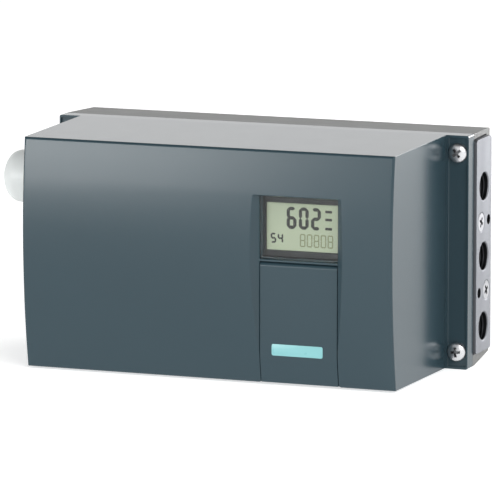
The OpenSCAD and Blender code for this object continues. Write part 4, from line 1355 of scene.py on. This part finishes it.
@dataclass
class DisplayModule(SubAssembly):
    """Electronics module: display with its figures, keys, cap, board and parts."""

    centre_x: float = 39.1
    display_z: float = 16.2
    display_y: float = -90.5
    key_z: float = -12.0
    key_pitch: float = 10.4
    key_top_y: float = -92.3
    ink: float = 0.03
    legend: float = 0.05

    SOFT = (
        ("module_cover", "module_cap", Finishes.BLACK, 0.45),
        ("display_frame", "display_bezel", Finishes.SURROUND, 0.2),
        ("display_glass", "display_panel", Finishes.DISPLAY, 0.08, 1),
        ("mode_key", "key_cap_mode", Finishes.BLACK, 0.5, 3),
        ("down_key", "key_cap_down", Finishes.BLACK, 0.5, 3),
        ("up_key", "key_cap_up", Finishes.BLACK, 0.5, 3),
        ("key_switches", "switches", Finishes.STEEL, 0.15, 1),
        ("main_board", "electronics_board", Finishes.BOARD, 0.1, 1),
        ("board_components", "board_parts", Finishes.BLACK, 0.2, 1),
        ("board_standoffs", "standoffs", Finishes.BRASS, 0.2, 1),
        ("board_screws", "board_screw_set", Finishes.NICKEL, 0.08, 1),
    )

    def details(self) -> None:
        """Show a plain reading, three level bars and two small rows, and mark the keys."""
        ink, faint = Finishes.INK, Finishes.FAINT_INK
        self.strokes("reading", "602", ink, left=-5.8, low=-0.1, w=2.8, h=7.6, step=5.2, pen=1.4)
        self.strokes(
            "small_reading", "54", ink, left=-13.0, low=-6.5, w=1.7, h=3.4, step=3.0, pen=0.72
        )
        self.strokes(
            "faint_row", "80808", faint, left=-0.6, low=-7.6, w=1.9, h=4.8, step=2.95, pen=0.52
        )
        bar = round_outline(0, 0, 2.9, 1.05, 0.2, 2)
        self.show("level_bars", [(11.4, z) for z in (6.9, 3.7, 0.0)], bar, ink)
        self.key_marks()

    def show(self, name: str, places: Outline, outline: Outline, finish: Finish) -> None:
        """Print copies of a shape on the display.

        Args:
            name: Name of the piece.
            places: Centre of each copy from the display's centre, in millimetres.
            outline: Corners of the shape about its centre.
            finish: Finish of the copies.
        """
        x, y, z = CASE_X + self.centre_x, self.display_y - 0.01, self.display_z
        points = host(name, [(x + across, y, z + up) for across, up in places])
        shape = slab(name + "_pattern", outline, 0.0, self.ink)
        dress(set_out(points, shape, finish), finish, body="housing", slot="display")

    def strokes(
        self, name: str, text: str, finish: Finish, *, left: float, low: float, w: float,
        h: float, step: float, pen: float,
    ) -> None:
        """Lay out a row of seven-stroke figures on the display.

        Args:
            name: Name of the piece.
            text: Figures to show.
            finish: Finish of the strokes.
            left: Left edge of the row from the display's centre, in millimetres.
            low: Foot of the row from the display's centre, in millimetres.
            w: Width between a figure's upright strokes.
            h: Height between its top and foot strokes.
            step: Distance between figures.
            pen: Width of a stroke.
        """
        for upright, label in ((False, "_level"), (True, "_upright")):
            places = []
            for i, figure in enumerate(text):
                for key in FIGURES[figure].split():
                    across, up, is_upright = Stroke[key].value
                    if is_upright == upright:
                        x = left + i * step + w / 2 + across * w
                        places.append((x, low + h / 2 + up * h / 2))
            half, nib = ((h / 2 if upright else w) + pen * 0.12) / 2, pen / 2
            shape = [(-half, 0), (-half + nib, -nib), (half - nib, -nib), (half, 0)]
            shape += [(half - nib, nib), (-half + nib, nib)]
            outline = [(z, x) for x, z in shape][::-1] if upright else shape
            self.show(name + label, places, outline, finish)

    def key_marks(self) -> None:
        """Print a ring, a minus and a plus on the key caps."""
        x, y, z = CASE_X + self.centre_x, self.key_top_y + 0.02, self.key_z
        across = round_outline(0, 0, 3.2, 0.7, 0.2, 2)
        upright = [(b, a) for a, b in reversed(across)]
        for i, body, mark, outline in (
            (0, "key_down", "_minus", across),
            (1, "key_up", "_minus", across),
            (1, "key_up", "_stroke", upright),
        ):
            middle = x + i * self.key_pitch
            shape = slab(body + mark, [(middle + a, z + b) for a, b in outline], y, self.legend)
            dress(shape, Finishes.LEGEND, body=body, slot="dark_plastic")
        inner, outer, top = 1.3, 1.9, self.legend
        rows = [(inner, 0.0), (inner, top), (outer, top), (outer, 0.0), (inner, 0.0)]
        ring = lathe("key_mode_ring", rows, 40)
        place = Matrix.Translation(Vector((x - self.key_pitch, y, z)) * MM)
        ring.data.transform(place @ Matrix.Rotation(math.radians(90), 4, "X"))
        dress(ring, Finishes.LEGEND, body="key_mode", slot="dark_plastic")


@dataclass
class TerminalArea(SubAssembly):
    """Terminal board with its blocks, clamps, screws and ribbon cable."""

    block_x: float = -70.0
    board_y: float = -45.0
    block_z: float = 20.0
    poles: int = 6
    pitch: float = 5.0
    cage: Point = (4.8, 3.8, 3.0)
    cage_wall: float = 0.4
    ribbon_bend_x: float = -24.45
    ribbon_bend_r: float = 2.4
    ribbon_half: float = 0.4
    conductors: int = 12

    SOFT = (
        ("terminal_board", "wiring_board", Finishes.BOARD, 0.1, 1),
        ("terminal_blocks", "clamp_blocks", Finishes.TERMINAL, 0.25),
        ("terminal_screws", "clamp_screws", Finishes.NICKEL, 0.12, 1),
    )

    def details(self) -> None:
        """Build the clamp cages and the ribbon."""
        self.clamp_cages()
        self.ribbon()

    def clamp_cages(self) -> None:
        """Build the metal cage in each wire mouth of the blocks."""
        x, y, middle = CASE_X + self.block_x + 1.6, self.board_y - 6.0, (self.poles - 1) / 2
        places = [
            (x, y, s * self.block_z + (i - middle) * self.pitch)
            for s in (-1, 1) for i in range(self.poles)
        ]
        w, d, h = self.cage
        corners = [(0.0, -h / 2), (w, -h / 2), (w, h / 2), (0.0, h / 2)]
        pattern = slab("clamp_cage_pattern", corners, d / 2, d)
        bm = bmesh.new()
        bm.from_mesh(pattern.data)
        ends = [f for f in bm.faces if abs(f.normal.x) > 0.9]
        bmesh.ops.delete(bm, geom=ends, context="FACES_ONLY")
        bm.to_mesh(pattern.data)
        bm.free()
        wall = pattern.modifiers.new("wall", "SOLIDIFY")
        wall.thickness = self.cage_wall * MM
        wall.offset = -1.0
        cages = set_out(host("clamp_cages", places), settle(pattern), Finishes.STEEL)
        dress(cages, Finishes.STEEL, body="housing", slot="steel")

    def ribbon(self) -> None:
        """Build the ribbon as round conductors along one bent path, with Geometry Nodes."""
        low, high = (Vector(corner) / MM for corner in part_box("ribbon_cable"))
        bend, step = CASE_X + self.ribbon_bend_x, (high.z - low.z) / self.conductors
        front, back = low.y + self.ribbon_half, high.y - self.ribbon_half
        path = [(low.x + 0.01, back), (bend, back), (bend, front), (high.x - 0.01, front)]
        line = bpy.data.meshes.new("ribbon_path")
        edges = [(k, k + 1) for k in range(len(path) - 1)]
        line.from_pydata([(x * MM, y * MM, low.z * MM) for x, y in path], edges, [])
        route = link("ribbon_path", line)
        places = [(0.0, 0.0, (k + 0.5) * step) for k in range(self.conductors)]
        strands = host("ribbon_strands", places)
        rig = NodeRig(
            "ribbon_sweep", Path=route, Conductor=step * 0.52 * MM, Bend=self.ribbon_bend_r * MM
        )
        curve = rig.add("GeometryNodeMeshToCurve", {"Mesh": rig.shape("Path")}).outputs["Curve"]
        inputs = {"Curve": curve, "Count": 8, "Radius": rig.entry["Bend"]}
        fillet = rig.add("GeometryNodeFilletCurve", inputs, mode="POLY").outputs["Curve"]
        rig.run(strands, rig.sweep(fillet, "Conductor", 10), Finishes.RIBBON)
        bpy.data.objects.remove(route)
        smooth(strands.data, 40)
        dress(strands, Finishes.RIBBON, "ribbon_cable")


@dataclass
class FeedbackTrain(SubAssembly):
    """Feedback shaft, clutch, gears, potentiometer, bridge and ratio selector."""

    turned_edge: float = 0.2
    tooth_edge: float = 0.08
    hand_edge: float = 0.25
    screw_edge: float = 0.08

    SOFT = (
        ("feedback_shaft", "shaft_turned", Finishes.STEEL, 0.35),
        ("drive_gear", "gear_wheel", Finishes.IVORY, tooth_edge, 1),
        ("clutch_spring", "spring_washer", Finishes.STEEL, turned_edge, 1),
        ("clutch_wheel", "hand_wheel", Finishes.YELLOW, hand_edge),
        ("retaining_ring", "snap_ring", Finishes.STEEL, 0.15, 1),
        ("potentiometer", "pot_case", Finishes.BLACK, 0.4),
        ("pot_shaft", "pot_spindle", Finishes.STEEL, turned_edge, 1),
        ("pot_pinion", "pinion", Finishes.IVORY, 0.06, 1),
        ("gear_bridge", "bridge_plate", Finishes.BLACK, 0.3),
        ("bridge_screws", "bridge_screw_set", Finishes.NICKEL, screw_edge, 1),
        ("ratio_selector", "ratio_slide", Finishes.YELLOW, hand_edge),
    )


@dataclass
class Pneumatics(SubAssembly):
    """Valve block with its pilot valve, throttles and purge selector."""

    screw_edge: float = 0.08
    throttle_edge: float = 0.25

    SOFT = (
        ("pneumatic_block", "valve_block", Finishes.CASTING, 0.4),
        ("pneumatic_block_screws", "block_screw_set", Finishes.NICKEL, screw_edge, 1),
        ("pilot_valve", "pilot_case", Finishes.BLACK, 0.35),
        ("pilot_valve_screws", "pilot_screw_set", Finishes.NICKEL, screw_edge, 1),
        ("restrictor_upper", "throttle_screw_upper", Finishes.BRASS, throttle_edge),
        ("restrictor_lower", "throttle_screw_lower", Finishes.BRASS, throttle_edge),
        ("purge_selector", "purge_knob", Finishes.YELLOW, 0.3),
    )


@dataclass(frozen=True)
class Lamp:
    """A soft area lamp that faces the object: angles in degrees, lengths in metres."""

    name: str
    azimuth: float
    elevation: float
    reach: float
    size: tuple[float, float]
    watts: float


@dataclass
class Studio:
    """Camera at the photo's angle, pale floor and soft light."""

    target: Point = (22.0, -49.0, 0.0)
    azimuth: float = 20.926
    elevation: float = 9.185
    distance: float = 2216.8
    lens: float = 389.2
    shift: tuple[float, float] = (0.00378, -0.00728)
    floor_z: float = -48.25
    floor_half: float = 6.0
    lamps: tuple[Lamp, ...] = (
        Lamp("softbox", -32.6, 7.9, 1.3, (0.61, 0.33), 5.8),
        Lamp("fill_light", 45.0, 34.0, 1.4, (0.9, 0.7), 9.0),
        Lamp("rim_light", 152.0, 10.5, 1.5, (1.0, 0.62), 18.5),
        Lamp("back_light", 201.0, 13.0, 2.3, (1.4, 0.8), 1.2),
    )

    def build(self) -> None:
        """Build the camera, the floor and the lights."""
        bpy.context.scene.view_settings.view_transform = "Standard"
        self.camera()
        self.floor()
        self.world()
        for lamp in self.lamps:
            data = bpy.data.lights.new(lamp.name, "AREA")
            data.shape = "RECTANGLE"
            data.size, data.size_y = lamp.size
            data.energy = lamp.watts
            self.stand(data, lamp.azimuth, lamp.elevation, lamp.reach)

    def stand(self, data: bpy.types.ID, azimuth: float, elevation: float, reach: float) -> Piece:
        """Stand a camera or a lamp away from the target, facing it.

        Args:
            data: The camera or lamp.
            azimuth: Its azimuth in degrees.
            elevation: Its elevation in degrees.
            reach: Its distance in metres.

        Returns:
            The object.
        """
        obj = link(data.name, data)
        a, e = math.radians(azimuth), math.radians(elevation)
        away = Vector((math.sin(a) * math.cos(e), -math.cos(a) * math.cos(e), math.sin(e)))
        obj.location = Vector(self.target) * MM + away * reach
        obj.rotation_mode = "QUATERNION"
        obj.rotation_quaternion = (-away).to_track_quat("-Z", "Y")
        return obj

    def camera(self) -> None:
        """Build the camera."""
        data = bpy.data.cameras.new("photo_camera")
        data.sensor_width = 36.0
        data.lens = self.lens
        data.shift_x, data.shift_y = self.shift
        data.clip_end = 50.0
        camera = self.stand(data, self.azimuth, self.elevation, self.distance * MM)
        bpy.context.scene.camera = camera

    def floor(self) -> None:
        """Build the pale floor."""
        mesh = bpy.data.meshes.new("floor")
        half, z = self.floor_half, self.floor_z * MM
        corners = [(-half, -half, z), (half, -half, z), (half, half, z), (-half, half, z)]
        mesh.from_pydata(corners, [], [(0, 1, 2, 3)])
        floor = link("floor", mesh)
        graph = Graph("floor_pale")
        white = (1.0, 1.0, 1.0)
        graph.feed(graph.shader, {
            "Base Color": graph.tint(graph.noise(300.0), white, {0.3: 0.90, 0.7: 0.92}),
            "Roughness": 0.9,
            "Specular IOR Level": 0.0,
            "Emission Color": shade(white, 1.0),
            "Emission Strength": 0.6,
        })
        mesh.materials.append(graph.material)

    def world(self) -> None:
        """Light the surroundings evenly below a dark ceiling, and show them white."""
        world = bpy.data.worlds.new("studio")
        bpy.context.scene.world = world
        world.use_nodes = True
        nodes = Nodes(world.node_tree)
        place = nodes.add("ShaderNodeTexCoord").outputs["Generated"]
        height = nodes.add("ShaderNodeSeparateXYZ", {"Vector": place}).outputs["Z"]
        inputs = {"From Min": 0.42, "From Max": 0.85, "To Min": 1.0, "To Max": 0.12}
        inputs["Value"] = height
        ceiling = nodes.add("ShaderNodeMapRange", inputs, interpolation_type="SMOOTHSTEP")
        path = nodes.add("ShaderNodeLightPath").outputs
        seen = path["Is Camera Ray"]
        for ray in ("Is Glossy Ray", "Is Transmission Ray"):
            both = nodes.add("ShaderNodeMath", {0: seen, 1: path[ray]}, operation="MAXIMUM")
            seen = both.outputs["Value"]
        level = nodes.add("ShaderNodeMapRange", {"Value": seen, "To Min": 0.54, "To Max": 1.0})
        nodes.feed(nodes.tree.nodes["Background"], {
            "Color": ceiling.outputs["Result"],
            "Strength": level.outputs["Result"],
        })


def note_sizes() -> None:
    """Bring the view layer up to date."""
    bpy.context.view_layer.update()


def main() -> None:
    """Build the studio and every sub-assembly in order."""
    logging.basicConfig(level=logging.INFO, format="%(name)s %(message)s")
    Studio().build()
    parts: tuple[SubAssembly, ...] = (
        FrontCover(), BaseTray(), PortPlate(), CableEntries(),
        DisplayModule(), TerminalArea(), FeedbackTrain(), Pneumatics(),
    )
    for part in parts:
        LOG.info("building %s", type(part).__name__)
        part.build()
    note_sizes()


if __name__ == "__main__":
    main()
